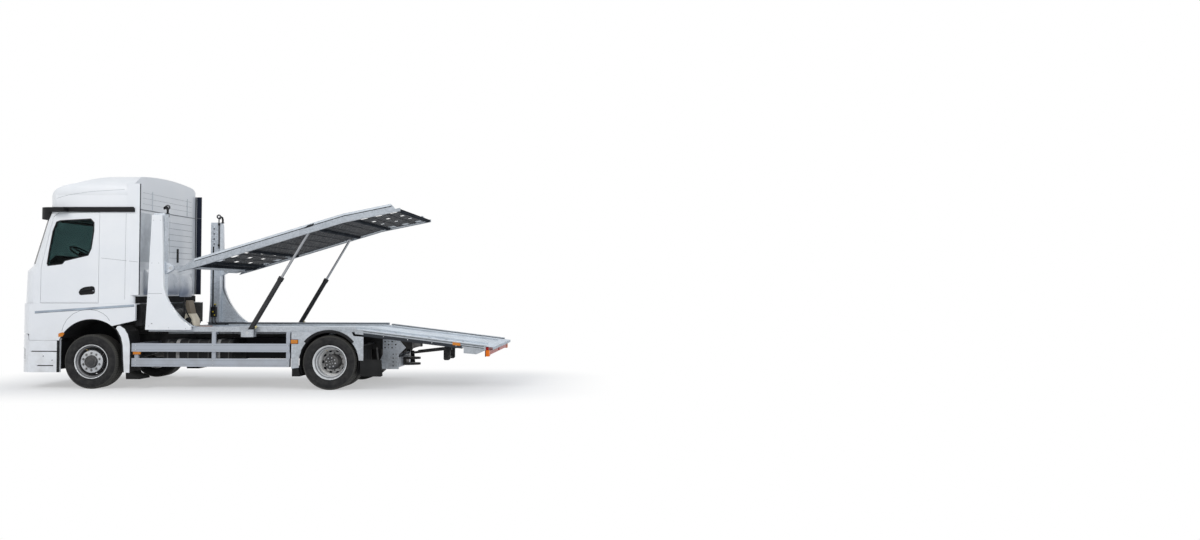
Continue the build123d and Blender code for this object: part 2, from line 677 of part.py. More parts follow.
DOOR_FRONT = FRONT_AXLE + 950
HINGE_HEIGHTS = [1700, 2040]
HINGE_GAP = 0.3
ARM_INNER = CAB_HALF - CAB_WALL - 22
door_points = [
    (DOOR_FRONT, CAB_FLOOR + 12),
    (DOOR_FRONT, 2130),
    (FRONT_AXLE + 745, 3010),
    (FRONT_AXLE + 655, 3080),
    (FRONT_AXLE - 75, 3092),
    (FRONT_AXLE - 75, CAB_FLOOR + 12),
]
window_points = [
    (FRONT_AXLE + 690, 2925),
    (FRONT_AXLE + 625, 2950),
    (FRONT_AXLE + 80, 2980),
    (FRONT_AXLE + 20, 2915),
    (FRONT_AXLE + 20, 2765),
    (FRONT_AXLE + 60, 2457),
    (FRONT_AXLE + 115, 2335),
    (FRONT_AXLE + 531, 2236),
    (FRONT_AXLE + 576, 2181),
    (FRONT_AXLE + 835, 2150),
    (FRONT_AXLE + 850, 2190),
    (FRONT_AXLE + 815, 2424),
    (FRONT_AXLE + 755, 2764),
]


def window_prism(grow, y, depth):
    """Upright prism of the door window, grown or shrunk, from y towards -Y."""
    with BuildPart() as prism:
        with BuildSketch(side_plane(y)):
            Polygon(*window_points, align=None)
            if grow:
                offset(amount=grow, kind=Kind.INTERSECTION, mode=Mode.REPLACE)
        extrude(amount=depth)
    return prism.part


def door_prism(grow, depth):
    """Upright prism of the left door outline from outside the cab towards -Y."""
    with BuildPart() as prism:
        with BuildSketch(side_plane(CAB_HALF + 5)):
            Polygon(*door_points, align=None)
            if grow:
                offset(amount=grow, kind=Kind.INTERSECTION, mode=Mode.REPLACE)
        extrude(amount=depth)
    return prism.part


def windscreen_prism(shrink):
    """Prism of the windscreen opening seen from the front."""
    with BuildPart() as prism:
        with BuildSketch(Plane.YZ.offset(FRONT_AXLE + 620)):
            Polygon((-1030, 2175), (1030, 2175), (960, 2990), (-960, 2990), align=None)
            if shrink:
                offset(amount=-shrink, kind=Kind.INTERSECTION, mode=Mode.REPLACE)
        extrude(amount=FRONT_OVERHANG)
    return prism.part


# Pressed ribs across the near half of the rear wall
RIB_ROWS = 6
RIB_START = 2340
RIB_PITCH = 112
RIB_HEIGHT = 84
RIB_DEPTH = 8
RIB_INNER = 160
RIB_OUTER = 900
DOOR_DEPTH = CAB_WALL + 19
door_hole = door_prism(PANEL_GAP, DOOR_DEPTH + PANEL_GAP)
with BuildPart() as cab_shell:
    add(cab_wall.part)
    add(door_hole, mode=Mode.SUBTRACT)
    add(mirrored(door_hole).part, mode=Mode.SUBTRACT)
    add(windscreen_prism(0), mode=Mode.SUBTRACT)
    for side in (1, -1):
        block(CAB_BACK - 85, CAB_BACK + 140, side * (CAB_HALF - 34), side * (CAB_HALF - 14), 1640, CAB_SEAM)
    for row in range(RIB_ROWS):
        z = RIB_START + row * RIB_PITCH
        with BuildSketch(side_plane(RIB_OUTER)):
            Polygon(
                (CAB_BACK + 1, z),
                (CAB_BACK - RIB_DEPTH, z + 14),
                (CAB_BACK - RIB_DEPTH, z + RIB_HEIGHT - 14),
                (CAB_BACK + 1, z + RIB_HEIGHT),
                align=None,
            )
        extrude(amount=RIB_OUTER - RIB_INNER)

with BuildPart() as door_left:
    add(cab_wall.part)
    add(door_prism(0, DOOR_DEPTH), mode=Mode.INTERSECT)
    add(window_prism(0, CAB_HALF + 10, 100), mode=Mode.SUBTRACT)
    for z in HINGE_HEIGHTS:
        block(DOOR_FRONT - 45, DOOR_FRONT, ARM_INNER, CAB_HALF - CAB_WALL + 1, z - 30, z + 30)
        block(DOOR_FRONT - 45, DOOR_FRONT + 45, ARM_INNER, CAB_HALF - CAB_WALL - HINGE_GAP, z - 30, z + 30)
door_right = mirrored(door_left.part)
with BuildPart() as door_glass_left:
    add(window_prism(-0.3, CAB_HALF - 22, GLASS))
door_glass_right = mirrored(door_glass_left.part)

with BuildPart() as windscreen:
    add(cab_form(10, cab_sections[2:4]))
    add(cab_form(10 + GLASS, cab_sections[2:4]), mode=Mode.SUBTRACT)
    add(windscreen_prism(0.5), mode=Mode.INTERSECT)


def roof_form(inset):
    """High roof as the common volume of its plan, side and front outlines."""
    _, seam_nose, seam_half = cab_sections[-1]
    top = CAB_SEAM + ROOF_RISE - inset
    with BuildPart() as form:
        with BuildSketch(Plane.XY.offset(CAB_SEAM)):
            add(nose_outline(seam_nose, seam_half, CAB_BACK + inset, inset, REAR_RADIUS))
        extrude(amount=ROOF_RISE + 10)
        with BuildSketch(side_plane(BODY_HALF)):
            with BuildLine():
                brow = ThreePointArc(
                    (seam_nose - inset, CAB_SEAM),
                    (seam_nose - 190 - inset, top - 350),
                    (seam_nose - 570 - inset, top - 190),
                )
                crown = ThreePointArc(
                    brow @ 1, (FRONT_AXLE - 200, top - 42), (CAB_BACK - 10, top)
                )
                Polyline(crown @ 1, (CAB_BACK - 10, CAB_SEAM), brow @ 0)
            make_face()
        extrude(amount=2 * BODY_HALF, mode=Mode.INTERSECT)
        with BuildSketch(Plane.YZ.offset(CAB_BACK - 10)):
            with BuildLine():
                half = seam_half - inset
                ThreePointArc((930, top - 55), (0, top), (-930, top - 55))
                for hand in (1, -1):
                    shoulder = ThreePointArc(
                        (hand * (half - 12), CAB_SEAM + 230),
                        (hand * (half - 62), top - 160),
                        (hand * 930, top - 55),
                    )
                    Line(shoulder @ 0, (hand * half, CAB_SEAM))
                Line((half, CAB_SEAM), (-half, CAB_SEAM))
            make_face()
        extrude(amount=2 * LENGTH, mode=Mode.INTERSECT)
    return form.part


with BuildPart() as cab_roof:
    add(roof_form(0))
    add(roof_form(40), mode=Mode.SUBTRACT)
    for side in (1, -1):
        block(CAB_BACK - 85, CAB_BACK + 140, side * (CAB_HALF - 34), side * (CAB_HALF - 14), CAB_SEAM, CAB_SEAM + 430)

# Lower front panel under the cab floor with cooling slots and the cheeks the cab tilts on
with BuildPart() as grille_panel:
    add(front_shell(SKIRT_HALF, SKIRT_FRONT, BUMPER_TOP + 10, CAB_FLOOR, SKIRT_WALL))
    for z in (1040, 1130, 1220, 1310):
        block(CAB_NOSE - 200, CAB_NOSE + 1, -750, 750, z, z + 45, Mode.SUBTRACT)
    cheek_offset = TILT_PLATE / 2 + TILT_GAP + TILT_CHEEK / 2
    for centre in (SPRING_Y, -SPRING_Y):
        for offset_y in (cheek_offset, -cheek_offset):
            with BuildSketch(side_plane(centre + offset_y + TILT_CHEEK / 2)):
                Polygon(
                    (TILT_X - TILT_EYE, TILT_Z),
                    (TILT_X - TILT_EYE, TILT_Z + 440),
                    (CAB_NOSE - SKIRT_WALL - 10, TILT_Z + 580),
                    (CAB_NOSE - SKIRT_WALL - 10, TILT_Z + 390),
                    (TILT_X + TILT_EYE, TILT_Z + 220),
                    (TILT_X + TILT_EYE, TILT_Z),
                    align=None,
                )
                with Locations((TILT_X, TILT_Z)):
                    Circle(TILT_EYE)
                    Circle(TILT_PIN + PIN_CLEARANCE, mode=Mode.SUBTRACT)
            extrude(amount=TILT_CHEEK)

# Side skirts of the cab with the front wheel arch, hung under the floor
ARCH_RADIUS = 612
ARCH_Z = 600
SKIRT_THICK = 50
with BuildPart() as wheel_skirts:
    for side in (1, -1):
        with BuildSketch(side_plane(side * (SKIRT_HALF - SKIRT_THICK / 2) + SKIRT_THICK / 2)):
            Polygon(
                (SKIRT_FRONT, CAB_FLOOR),
                (SKIRT_FRONT, SKIRT_SEAM + 5),
                (FRONT_AXLE, SKIRT_SEAM + 5),
                (FRONT_AXLE - 380, 1100),
                (CAB_BACK - 85, 1195),
                (CAB_BACK - 85, CAB_FLOOR),
                align=None,
            )
            with Locations((FRONT_AXLE - 15, ARCH_Z)):
                Circle(ARCH_RADIUS, mode=Mode.SUBTRACT)
        extrude(amount=SKIRT_THICK)
        block(
            CAB_BACK - 85, SKIRT_FRONT, side * (CAB_HALF - 60), side * SKIRT_HALF,
            CAB_FLOOR - 12, CAB_FLOOR,
        )

# Dark trim on the cab: visor blade over the windscreen, side strips and camera arms
VISOR_NOSE = CAB_NOSE - 250
VISOR_END = FRONT_AXLE + 800
STRIP_INNER = CAB_HALF - 14
STRIP_OUTER = CAB_HALF + 12
ARM_BACK = FRONT_AXLE + 480
STRIP_LOW = 3100
STRIP_HIGH = 3168
with BuildPart() as roof_trim:
    with BuildSketch(Plane.XY.offset(2985)):
        add(nose_outline(VISOR_NOSE, CAB_HALF - 40, VISOR_END))
    extrude(amount=205)
    with BuildSketch(Plane.XY.offset(2985)):
        add(nose_outline(VISOR_NOSE, CAB_HALF - 40, VISOR_END - 1, 14))
    extrude(amount=205, mode=Mode.SUBTRACT)
    for side in (1, -1):
        block(FRONT_AXLE + 850, VISOR_NOSE - 75, side * 760, side * 780, 3090, 3130)
        block(CAB_BACK, VISOR_END + 50, side * STRIP_INNER, side * STRIP_OUTER, STRIP_LOW, STRIP_HIGH)
        block(VISOR_END, VISOR_END + 50, side * (CAB_HALF - 54), side * STRIP_OUTER, STRIP_LOW, STRIP_HIGH)
        block(ARM_BACK, ARM_BACK + 250, side * CAB_HALF, side * (CAB_HALF + 130), STRIP_LOW + 5, STRIP_HIGH)
    add(cab_form(0, cab_sections), mode=Mode.SUBTRACT)
    add(roof_form(0), mode=Mode.SUBTRACT)

# Inside of the cab: dashboard, steering wheel on its column and two seats
WHEEL_CENTRE = (FRONT_AXLE + 590, 480, 2215)
WHEEL_AXIS = (-0.55, 0, 0.835)
GRIP_RADIUS = 215
GRIP_HALF = 15
COLUMN_LENGTH = 330
SEAT_Y = 480
SEAT_WIDTH = 500
with BuildPart() as cab_interior:
    with BuildSketch(side_plane(980)):
        Polygon(
            (FRONT_AXLE + 1060, CAB_FLOOR + CAB_WALL),
            (FRONT_AXLE + 1060, 2120),
            (FRONT_AXLE + 900, 2160),
            (FRONT_AXLE + 790, 2080),
            (FRONT_AXLE + 790, 1900),
            (FRONT_AXLE + 900, 1750),
            (FRONT_AXLE + 920, CAB_FLOOR + CAB_WALL),
            align=None,
        )
    extrude(amount=1960)
    with BuildSketch(Plane(WHEEL_CENTRE, x_dir=(0, 1, 0), z_dir=(WHEEL_AXIS[2], 0, -WHEEL_AXIS[0]))) as grip:
        with Locations((GRIP_RADIUS, 0)):
            RegularPolygon(GRIP_HALF, 8)
    revolve(grip.sketch, axis=Axis(WHEEL_CENTRE, WHEEL_AXIS))
    wheel_plane = Plane(WHEEL_CENTRE, x_dir=(0, 1, 0), z_dir=WHEEL_AXIS)
    with Locations(wheel_plane):
        Cylinder(55, 24)
        Box(2 * GRIP_RADIUS - 8, 40, 14)
    with Locations(wheel_plane.offset(-COLUMN_LENGTH / 2)):
        Cylinder(32, COLUMN_LENGTH)
    for y in (SEAT_Y, -SEAT_Y):
        with BuildSketch(side_plane(y + SEAT_WIDTH / 2)):
            Polygon(
                (FRONT_AXLE + 220, CAB_FLOOR + CAB_WALL),
                (FRONT_AXLE + 230, 1880),
                (FRONT_AXLE + 330, 1950),
                (FRONT_AXLE + 320, 2040),
                (FRONT_AXLE - 160, 2000),
                (FRONT_AXLE - 280, 2560),
                (FRONT_AXLE - 330, 2860),
                (FRONT_AXLE - 430, 2850),
                (FRONT_AXLE - 400, 2500),
                (FRONT_AXLE - 290, 1880),
                (FRONT_AXLE - 230, CAB_FLOOR + CAB_WALL),
                align=None,
            )
        extrude(amount=SEAT_WIDTH)

# Upper deck: distances behind the pivot and heights over it
MAIN_TAN = tan(radians(UPPER_SLOPE))
TAIL_TAN = tan(radians(UPPER_TAIL_SLOPE))
BEAM_START = 590
BEAM_START_Z = 35
BEND = BEAM_START + UPPER_MAIN - 200
DECK_END = BEND + UPPER_TAIL_LENGTH
BEAM_HEIGHT = 151
END_HEIGHT = 52
LIP_SLOPE = 80
FLOOR_LIFT = 32
BAR_HEIGHT = 30
GROOVE_LOW = 104
GROOVE_HIGH = 118
GROOVE_DEPTH = 4


def beam_low(back):
    """Height over the pivot of the beam's lower edge, at a distance behind the pivot."""
    return BEAM_START_Z + (min(back, BEND) - BEAM_START) * MAIN_TAN + max(back - BEND, 0) * TAIL_TAN


def deck_point(back, lift):
    """Point of the upper deck in x and z: distance behind the pivot, lift over the lower edge."""
    return (PIVOT_X - back, PIVOT_Z + beam_low(back) + lift)


beam_outline = [
    (PIVOT_X - 300, PIVOT_Z + 33),
    deck_point(478, BEAM_HEIGHT),
    deck_point(BEND, BEAM_HEIGHT),
    deck_point(DECK_END - 2 * LIP_SLOPE, BEAM_HEIGHT),
    deck_point(DECK_END - LIP_SLOPE, END_HEIGHT),
    deck_point(DECK_END, END_HEIGHT),
    deck_point(DECK_END, 0),
    deck_point(BEND, 0),
    deck_point(BEAM_START, 0),
    (PIVOT_X - 199, PIVOT_Z - 77),
]
arm_outline = [
    (PIVOT_X, PIVOT_Z + 40),
    (PIVOT_X - 280, PIVOT_Z + 40),
    (PIVOT_X - 480, PIVOT_Z + 110),
    deck_point(740, 105),
    deck_point(740, 10),
    (PIVOT_X - 560, PIVOT_Z + 30),
    (PIVOT_X - 200, PIVOT_Z - 50),
    (PIVOT_X, PIVOT_Z - 40),
]
groove_line = [(back, GROOVE_LOW) for back in (470, BEND, DECK_END - 2 * LIP_SLOPE + 30)]
groove_outline = [deck_point(back, lift) for back, lift in groove_line]
groove_outline += [deck_point(back, lift + GROOVE_HIGH - GROOVE_LOW) for back, lift in reversed(groove_line)]
deck_bars = [540, 715, 1390, PIVOT_X - EYE_X + 140, BEND + 150, DECK_END - 35]
with BuildPart() as upper_deck_frame:
    for side in (1, -1):
        with BuildSketch(side_plane(side * (BODY_HALF - UPPER_FLANGE / 2) + UPPER_FLANGE / 2)):
            Polygon(*beam_outline, align=None)
        extrude(amount=UPPER_FLANGE)
        pocket = side * (BODY_HALF - UPPER_WEB - UPPER_FLANGE / 2) + UPPER_FLANGE / 2
        with BuildSketch(side_plane(pocket)):
            Polygon(*beam_outline, align=None)
            offset(amount=-UPPER_WEB, kind=Kind.INTERSECTION, mode=Mode.REPLACE)
        extrude(amount=UPPER_FLANGE, mode=Mode.SUBTRACT)
        with BuildSketch(side_plane(side * (BODY_HALF - GROOVE_DEPTH / 2) + GROOVE_DEPTH / 2)):
            Polygon(*groove_outline, align=None)
        extrude(amount=GROOVE_DEPTH, mode=Mode.SUBTRACT)
        with BuildSketch(side_plane(side * EAR_Y + EAR_GAP / 2 - 3)):
            Polygon(*arm_outline, align=None)
            with Locations((PIVOT_X, PIVOT_Z)):
                Circle(40)
                Circle(PIVOT_RADIUS + PIN_CLEARANCE, mode=Mode.SUBTRACT)
        extrude(amount=EAR_GAP - 6)
        boss_length = BODY_HALF - CYLINDER_Y - 31
        with Locations((EYE_X, side * (BODY_HALF - boss_length / 2), EYE_Z)):
            Cylinder(30, boss_length, rotation=(90, 0, 0))
    for back in deck_bars:
        slope = UPPER_TAIL_SLOPE if back > BEND else UPPER_SLOPE
        with BuildSketch(side_plane(BODY_HALF - UPPER_WEB)):
            with Locations(deck_point(back, FLOOR_LIFT / 2)):
                Rectangle(50, BAR_HEIGHT, rotation=-slope)
        extrude(amount=2 * (BODY_HALF - UPPER_WEB))
    block(PIVOT_X - 360, PIVOT_X - 240, -EAR_Y, EAR_Y, PIVOT_Z - 12, PIVOT_Z + 33)

floor_line = [(back, FLOOR_LIFT) for back in (500, BEND, DECK_END)]
floor_outline = [deck_point(back, lift) for back, lift in floor_line]
floor_outline += [deck_point(back, lift + SHEET) for back, lift in reversed(floor_line)]
FLOOR_HALF = BODY_HALF - UPPER_FLANGE - 5
# Columns: distance of the middle behind the pivot, pitch along
slot_fields = [
    (1055, 247),
    (3620, 262),
]
# Columns: y of the row, opening's length along the deck, width across it
slot_rows = [
    (1000, 125, 280),
    (300, 70, 150),
]
SLOT_COLUMNS = 3
with BuildPart() as upper_deck_floor:
    with BuildSketch(side_plane(FLOOR_HALF)):
        Polygon(*floor_outline, align=None)
    extrude(amount=2 * FLOOR_HALF)
    with BuildSketch(Plane.XY.offset(PIVOT_Z)):
        for back, pitch in slot_fields:
            for row_y, slot_length, slot_width in slot_rows:
                with Locations((PIVOT_X - back, 0)):
                    with GridLocations(pitch, 2 * row_y, SLOT_COLUMNS, 2):
                        Rectangle(slot_length, slot_width)
    extrude(amount=1400, mode=Mode.SUBTRACT)
    for side in (1, -1):
        block(
            PIVOT_X - 745, PIVOT_X - 490, side * (EAR_Y - EAR_GAP / 2 - 2), side * (EAR_Y + EAR_GAP / 2 + 2),
            PIVOT_Z - 100, PIVOT_Z + 300, Mode.SUBTRACT,
        )
        block(
            EYE_X - 160, EYE_X + 160, side * (DECK_HALF + 5), side * BODY_HALF,
            PIVOT_Z, PIVOT_Z + 1200, Mode.SUBTRACT,
        )

# Deck cylinders between the lower deck and the upper deck beams
REACH = hypot(FOOT_X - EYE_X, EYE_Z - FOOT_Z)
LEAN = ((EYE_X - FOOT_X) / REACH, 0, (EYE_Z - FOOT_Z) / REACH)
ROD_LENGTH = REACH - BARREL_LENGTH + 140
BORE_START = 80
cylinder_plane = Plane((FOOT_X, CYLINDER_Y, FOOT_Z), x_dir=(0, 1, 0), z_dir=LEAN)
with BuildPart() as barrel_left:
    with BuildSketch(cylinder_plane):
        Circle(BARREL_RADIUS)
    extrude(amount=BARREL_LENGTH)
    with BuildSketch(cylinder_plane.offset(BARREL_LENGTH - 70)):
        Circle(BARREL_RADIUS + 6)
    extrude(amount=70)
    with BuildSketch(cylinder_plane.offset(BORE_START)):
        Circle(ROD_RADIUS + ROD_CLEARANCE)
    extrude(amount=BARREL_LENGTH - BORE_START - GLAND_LENGTH, mode=Mode.SUBTRACT)
    with BuildSketch(cylinder_plane.offset(BARREL_LENGTH - GLAND_LENGTH)):
        Circle(ROD_RADIUS + GLAND_CLEARANCE)
    extrude(amount=GLAND_LENGTH, mode=Mode.SUBTRACT)
    with Locations((FOOT_X, CYLINDER_Y, FOOT_Z)):
        Cylinder(48, 84, rotation=(90, 0, 0))
        Cylinder(PIN_RADIUS + PIN_CLEARANCE, 90, rotation=(90, 0, 0), mode=Mode.SUBTRACT)
barrel_right = mirrored(barrel_left.part)
with BuildPart() as rod_left:
    with BuildSketch(cylinder_plane.offset(REACH - ROD_LENGTH)):
        Circle(ROD_RADIUS)
    extrude(amount=ROD_LENGTH)
    with Locations((EYE_X, CYLINDER_Y, EYE_Z)):
        Cylinder(38, 40, rotation=(90, 0, 0))
        Cylinder(PIN_RADIUS, 56, rotation=(90, 0, 0))
rod_right = mirrored(rod_left.part)

# Rear deck: sloping frame hinged at the end of the lower deck, its floor and the lamps at its tail
REAR_TAN = tan(radians(REAR_SLOPE))
REAR_TOP = 1060
RIDGE = 3
LIP_FOLD = 45
RED_HIGH = 50
TURN_HIGH = 105


def rear_top(x):
    """Height of the top of the rear deck beams."""
    return REAR_TOP - (REAR_HINGE_X - x) * REAR_TAN


def slope_strip(x_front, x_back, high, low):
    """Four corners of a strip along the rear deck, between two depths under the top of its beams."""
    return [
        (x_front, rear_top(x_front) - high),
        (x_back, rear_top(x_back) - high),
        (x_back, rear_top(x_back) - low),
        (x_front, rear_top(x_front) - low),
    ]


REAR_LIP = 120
REAR_BARS = 6
REAR_SINK = 20
REAR_SEAT = 0.3
BAR_DEEP = REAR_BEAM - RAIL_WALL
rear_end = TAIL + REAR_LIP
rear_floor_low = REAR_SINK + SHEET
rear_beam = slope_strip(REAR_HINGE_X, rear_end, 0, REAR_BEAM)
beam_ridge = slope_strip(REAR_HINGE_X, rear_end, 18, REAR_BEAM - 30)
BOX_FRONT = TAIL + 500
BOX_BACK = TAIL + 130
lamp_box = [
    (BOX_FRONT, rear_top(BOX_FRONT) - REAR_BEAM + 5),
    (BOX_FRONT, rear_top(BOX_FRONT) - REAR_BEAM - 95),
    (BOX_BACK + 150, rear_top(BOX_FRONT) - REAR_BEAM - 115),
    (BOX_BACK, rear_top(BOX_FRONT) - REAR_BEAM - 50),
    (BOX_BACK, rear_top(BOX_BACK) - REAR_BEAM + 5),
]
with BuildPart() as rear_deck_frame:
    for side in (1, -1):
        with BuildSketch(side_plane(side * (BODY_HALF - REAR_BEAM_WIDTH / 2) + REAR_BEAM_WIDTH / 2)):
            Polygon(*rear_beam, align=None)
        extrude(amount=REAR_BEAM_WIDTH)
        pocket = side * (BODY_HALF - RAIL_WALL - REAR_BEAM_WIDTH / 2) + REAR_BEAM_WIDTH / 2
        with BuildSketch(side_plane(pocket)):
            Polygon(*rear_beam, align=None)
            offset(amount=-RAIL_WALL, kind=Kind.INTERSECTION, mode=Mode.REPLACE)
        extrude(amount=REAR_BEAM_WIDTH, mode=Mode.SUBTRACT)
        with BuildSketch(side_plane(side * LUG_Y - 3)):
            Polygon(
                (REAR_HINGE_X, REAR_HINGE_Z - LUG_RADIUS),
                (REAR_HINGE_X - 100, REAR_HINGE_Z),
                (REAR_HINGE_X - 100, rear_top(REAR_HINGE_X - 100) - 30),
                (REAR_HINGE_X, REAR_HINGE_Z + LUG_RADIUS),
                align=None,
            )
            with Locations((REAR_HINGE_X, REAR_HINGE_Z)):
                Circle(LUG_RADIUS)
                Circle(LUG_PIN + PIN_CLEARANCE, mode=Mode.SUBTRACT)
        extrude(amount=20)
        with BuildSketch(side_plane(side * (BODY_HALF - 45) + 40)):
            Polygon(*lamp_box, align=None)
        extrude(amount=80)
        with BuildSketch(side_plane(side * (BODY_HALF - RIDGE / 2) + RIDGE / 2)):
            Polygon(*beam_ridge, align=None)
        extrude(amount=RIDGE, mode=Mode.SUBTRACT)
    step = (REAR_HINGE_X - rear_end - 105) / (REAR_BARS - 1)
    with BuildSketch(side_plane(BODY_HALF - RAIL_WALL)):
        for index in range(REAR_BARS):
            x = REAR_HINGE_X - 80 - index * step
            Polygon(*slope_strip(x + 25, x - 25, rear_floor_low + REAR_SEAT, BAR_DEEP), align=None)
    extrude(amount=2 * (BODY_HALF - RAIL_WALL))

# Floor of the rear deck; it runs past the last cross bar and ends in a folded lip
floor_half = BODY_HALF - REAR_BEAM_WIDTH
with BuildPart() as rear_deck_floor:
    with BuildSketch(side_plane(floor_half)):
        Polygon(*slope_strip(REAR_HINGE_X, TAIL, REAR_SINK, rear_floor_low), align=None)
        Polygon(*slope_strip(TAIL + SHEET, TAIL, REAR_SINK, REAR_SINK + LIP_FOLD), align=None)
    extrude(amount=2 * floor_half)

# Lamps behind the last cross bar: a red bar each side with a turn lamp under its outer end
lamp_front = rear_end - REAR_SEAT
lamp_top = rear_top(rear_end) - rear_floor_low - 10
with BuildPart() as tail_lamps:
    for side in (1, -1):
        block(lamp_front - 40, lamp_front, side * 560, side * 1200, lamp_top - RED_HIGH, lamp_top)
        block(
            lamp_front - 60, lamp_front, side * 1110, side * 1230,
            lamp_top - RED_HIGH - TURN_HIGH, lamp_top - RED_HIGH,
        )


def ring(x, y, profile):
    """Add the solid of revolution of a profile of pairs: offset along y, radius."""
    with BuildSketch(Plane.YZ.offset(x)) as section:
        Polygon(*[(y + along, TYRE_RADIUS + radius) for along, radius in profile], align=None)
    revolve(section.sketch, axis=Axis((x, 0, TYRE_RADIUS), (0, 1, 0)))


SIDE = TYRE_WIDTH / 2
BEAD = RIM_WIDTH / 2 - 12
tyre_profile = [
    (-BEAD, BEAD_RADIUS + 0.1),
    (-BEAD, RIM_RADIUS + 3),
    (-SIDE + 8, 330),
    (-SIDE, 385),
    (-SIDE + 18, 455),
    (-SIDE + 45, TYRE_RADIUS),
    (SIDE - 45, TYRE_RADIUS),
    (SIDE - 18, 455),
    (SIDE, 385),
    (SIDE - 8, 330),
    (BEAD, RIM_RADIUS + 3),
    (BEAD, BEAD_RADIUS + 0.1),
]
FLANGE = RIM_WIDTH / 2
barrel_profile = [
    (FLANGE, RIM_RADIUS),
    (FLANGE - 9, RIM_RADIUS),
    (FLANGE - 11, BEAD_RADIUS),
    (50, 252),
    (-50, 252),
    (11 - FLANGE, BEAD_RADIUS),
    (9 - FLANGE, RIM_RADIUS),
    (-FLANGE, RIM_RADIUS),
    (-FLANGE, RIM_RADIUS - 10),
    (-58, 242),
    (58, 242),
    (FLANGE, RIM_RADIUS - 10),
]
BORE = SPINDLE_RADIUS + SPINDLE_CLEARANCE
front_disc = [
    (40, 245),
    (112, 190),
    (112, 110),
    (150, 100),
    (150, 0),
    (120, 0),
    (120, BORE),
    (-75, BORE),
    (-75, 215),
    (-45, 215),
    (-45, 100),
    (98, 100),
    (98, 185),
    (28, 243),
]
DISC_HOLES = 10
HOLE_RADIUS = 16
HOLE_CIRCLE = 214


def wheel_nodes(x, y):
    """Tyre and rim of one front wheel with its hub and brake disc."""
    with BuildPart() as tyre:
        ring(x, y, tyre_profile)
    with BuildPart() as rim:
        ring(x, y, barrel_profile)
        ring(x, y, front_disc)
        with BuildSketch(side_plane(y + 120)):
            with Locations((x, TYRE_RADIUS)):
                with PolarLocations(HOLE_CIRCLE, DISC_HOLES):
                    Circle(HOLE_RADIUS)
        extrude(amount=110, mode=Mode.SUBTRACT)
    return tyre, rim


front_tyre_left, front_rim_left = wheel_nodes(FRONT_AXLE, WHEEL_Y)
front_tyre_right = mirrored(front_tyre_left.part)
front_rim_right = mirrored(front_rim_left.part)

# Rear wheels: twin tyres on two dished rims bolted back to back on one hub
MIDDLE = -TWIN_SPACING / 2
rear_hub = [
    (50, 0),
    (50, 100),
    (MIDDLE + 12, 110),
    (MIDDLE + 12, 190),
    (-70, 215),
    (-30, 247),
    (-42, 247),
    (-82, 219),
    (MIDDLE, 196),
    (2 * MIDDLE + 82, 219),
    (2 * MIDDLE + 42, 247),
    (2 * MIDDLE + 30, 247),
    (2 * MIDDLE + 70, 215),
    (MIDDLE - 12, 190),
    (MIDDLE - 12, 110),
    (2 * MIDDLE + 60, 110),
    (2 * MIDDLE + 60, BORE),
    (20, BORE),
    (20, 0),
]
with BuildPart() as rear_tyres_left:
    for y in (WHEEL_Y, WHEEL_Y - TWIN_SPACING):
        ring(REAR_AXLE, y, tyre_profile)
with BuildPart() as rear_rims_left:
    for y in (WHEEL_Y, WHEEL_Y - TWIN_SPACING):
        ring(REAR_AXLE, y, barrel_profile)
    ring(REAR_AXLE, WHEEL_Y, rear_hub)
    with BuildSketch(side_plane(WHEEL_Y - 40)):
        with Locations((REAR_AXLE, TYRE_RADIUS)):
            with PolarLocations(HOLE_CIRCLE, DISC_HOLES):
                Circle(HOLE_RADIUS)
    extrude(amount=70, mode=Mode.SUBTRACT)
rear_tyres_right = mirrored(rear_tyres_left.part)
rear_rims_right = mirrored(rear_rims_left.part)

# Steering knuckles: a yoke round the axle boss, the pin and the spindle
EAR_LOW = 399
EAR_HIGH = 551
with BuildPart() as knuckle_left:
    block(FRONT_AXLE - 55, FRONT_AXLE + 55, KINGPIN_Y - 50, KINGPIN_Y + 100, EAR_HIGH, EAR_HIGH + 35)
    block(FRONT_AXLE - 55, FRONT_AXLE + 55, KINGPIN_Y - 50, KINGPIN_Y + 100, EAR_LOW - 35, EAR_LOW)
    block(FRONT_AXLE - 60, FRONT_AXLE + 60, KINGPIN_Y + 66, KINGPIN_Y + 105, EAR_LOW - 35, EAR_HIGH + 35)
    with Locations((FRONT_AXLE, KINGPIN_Y, TYRE_RADIUS)):
        Cylinder(KINGPIN_RADIUS, EAR_HIGH - EAR_LOW + 40)
    with BuildSketch(side_plane(WHEEL_Y + 100)):
        with Locations((FRONT_AXLE, TYRE_RADIUS)):
            Circle(SPINDLE_RADIUS)
    extrude(amount=WHEEL_Y + 100 - KINGPIN_Y - 80)
    with BuildSketch(side_plane(KINGPIN_Y + 112)):
        with Locations((FRONT_AXLE, TYRE_RADIUS)):
            Circle(195)
    extrude(amount=8)
knuckle_right = mirrored(knuckle_left.part)

post_right = mirrored(post_left.part)
fairing_right = mirrored(fairing_left.part)
with BuildPart() as deck_posts:
    add(post_left.part)
    add(post_right.part)
with BuildPart() as post_fairings:
    add(fairing_left.part)
    add(fairing_right.part)

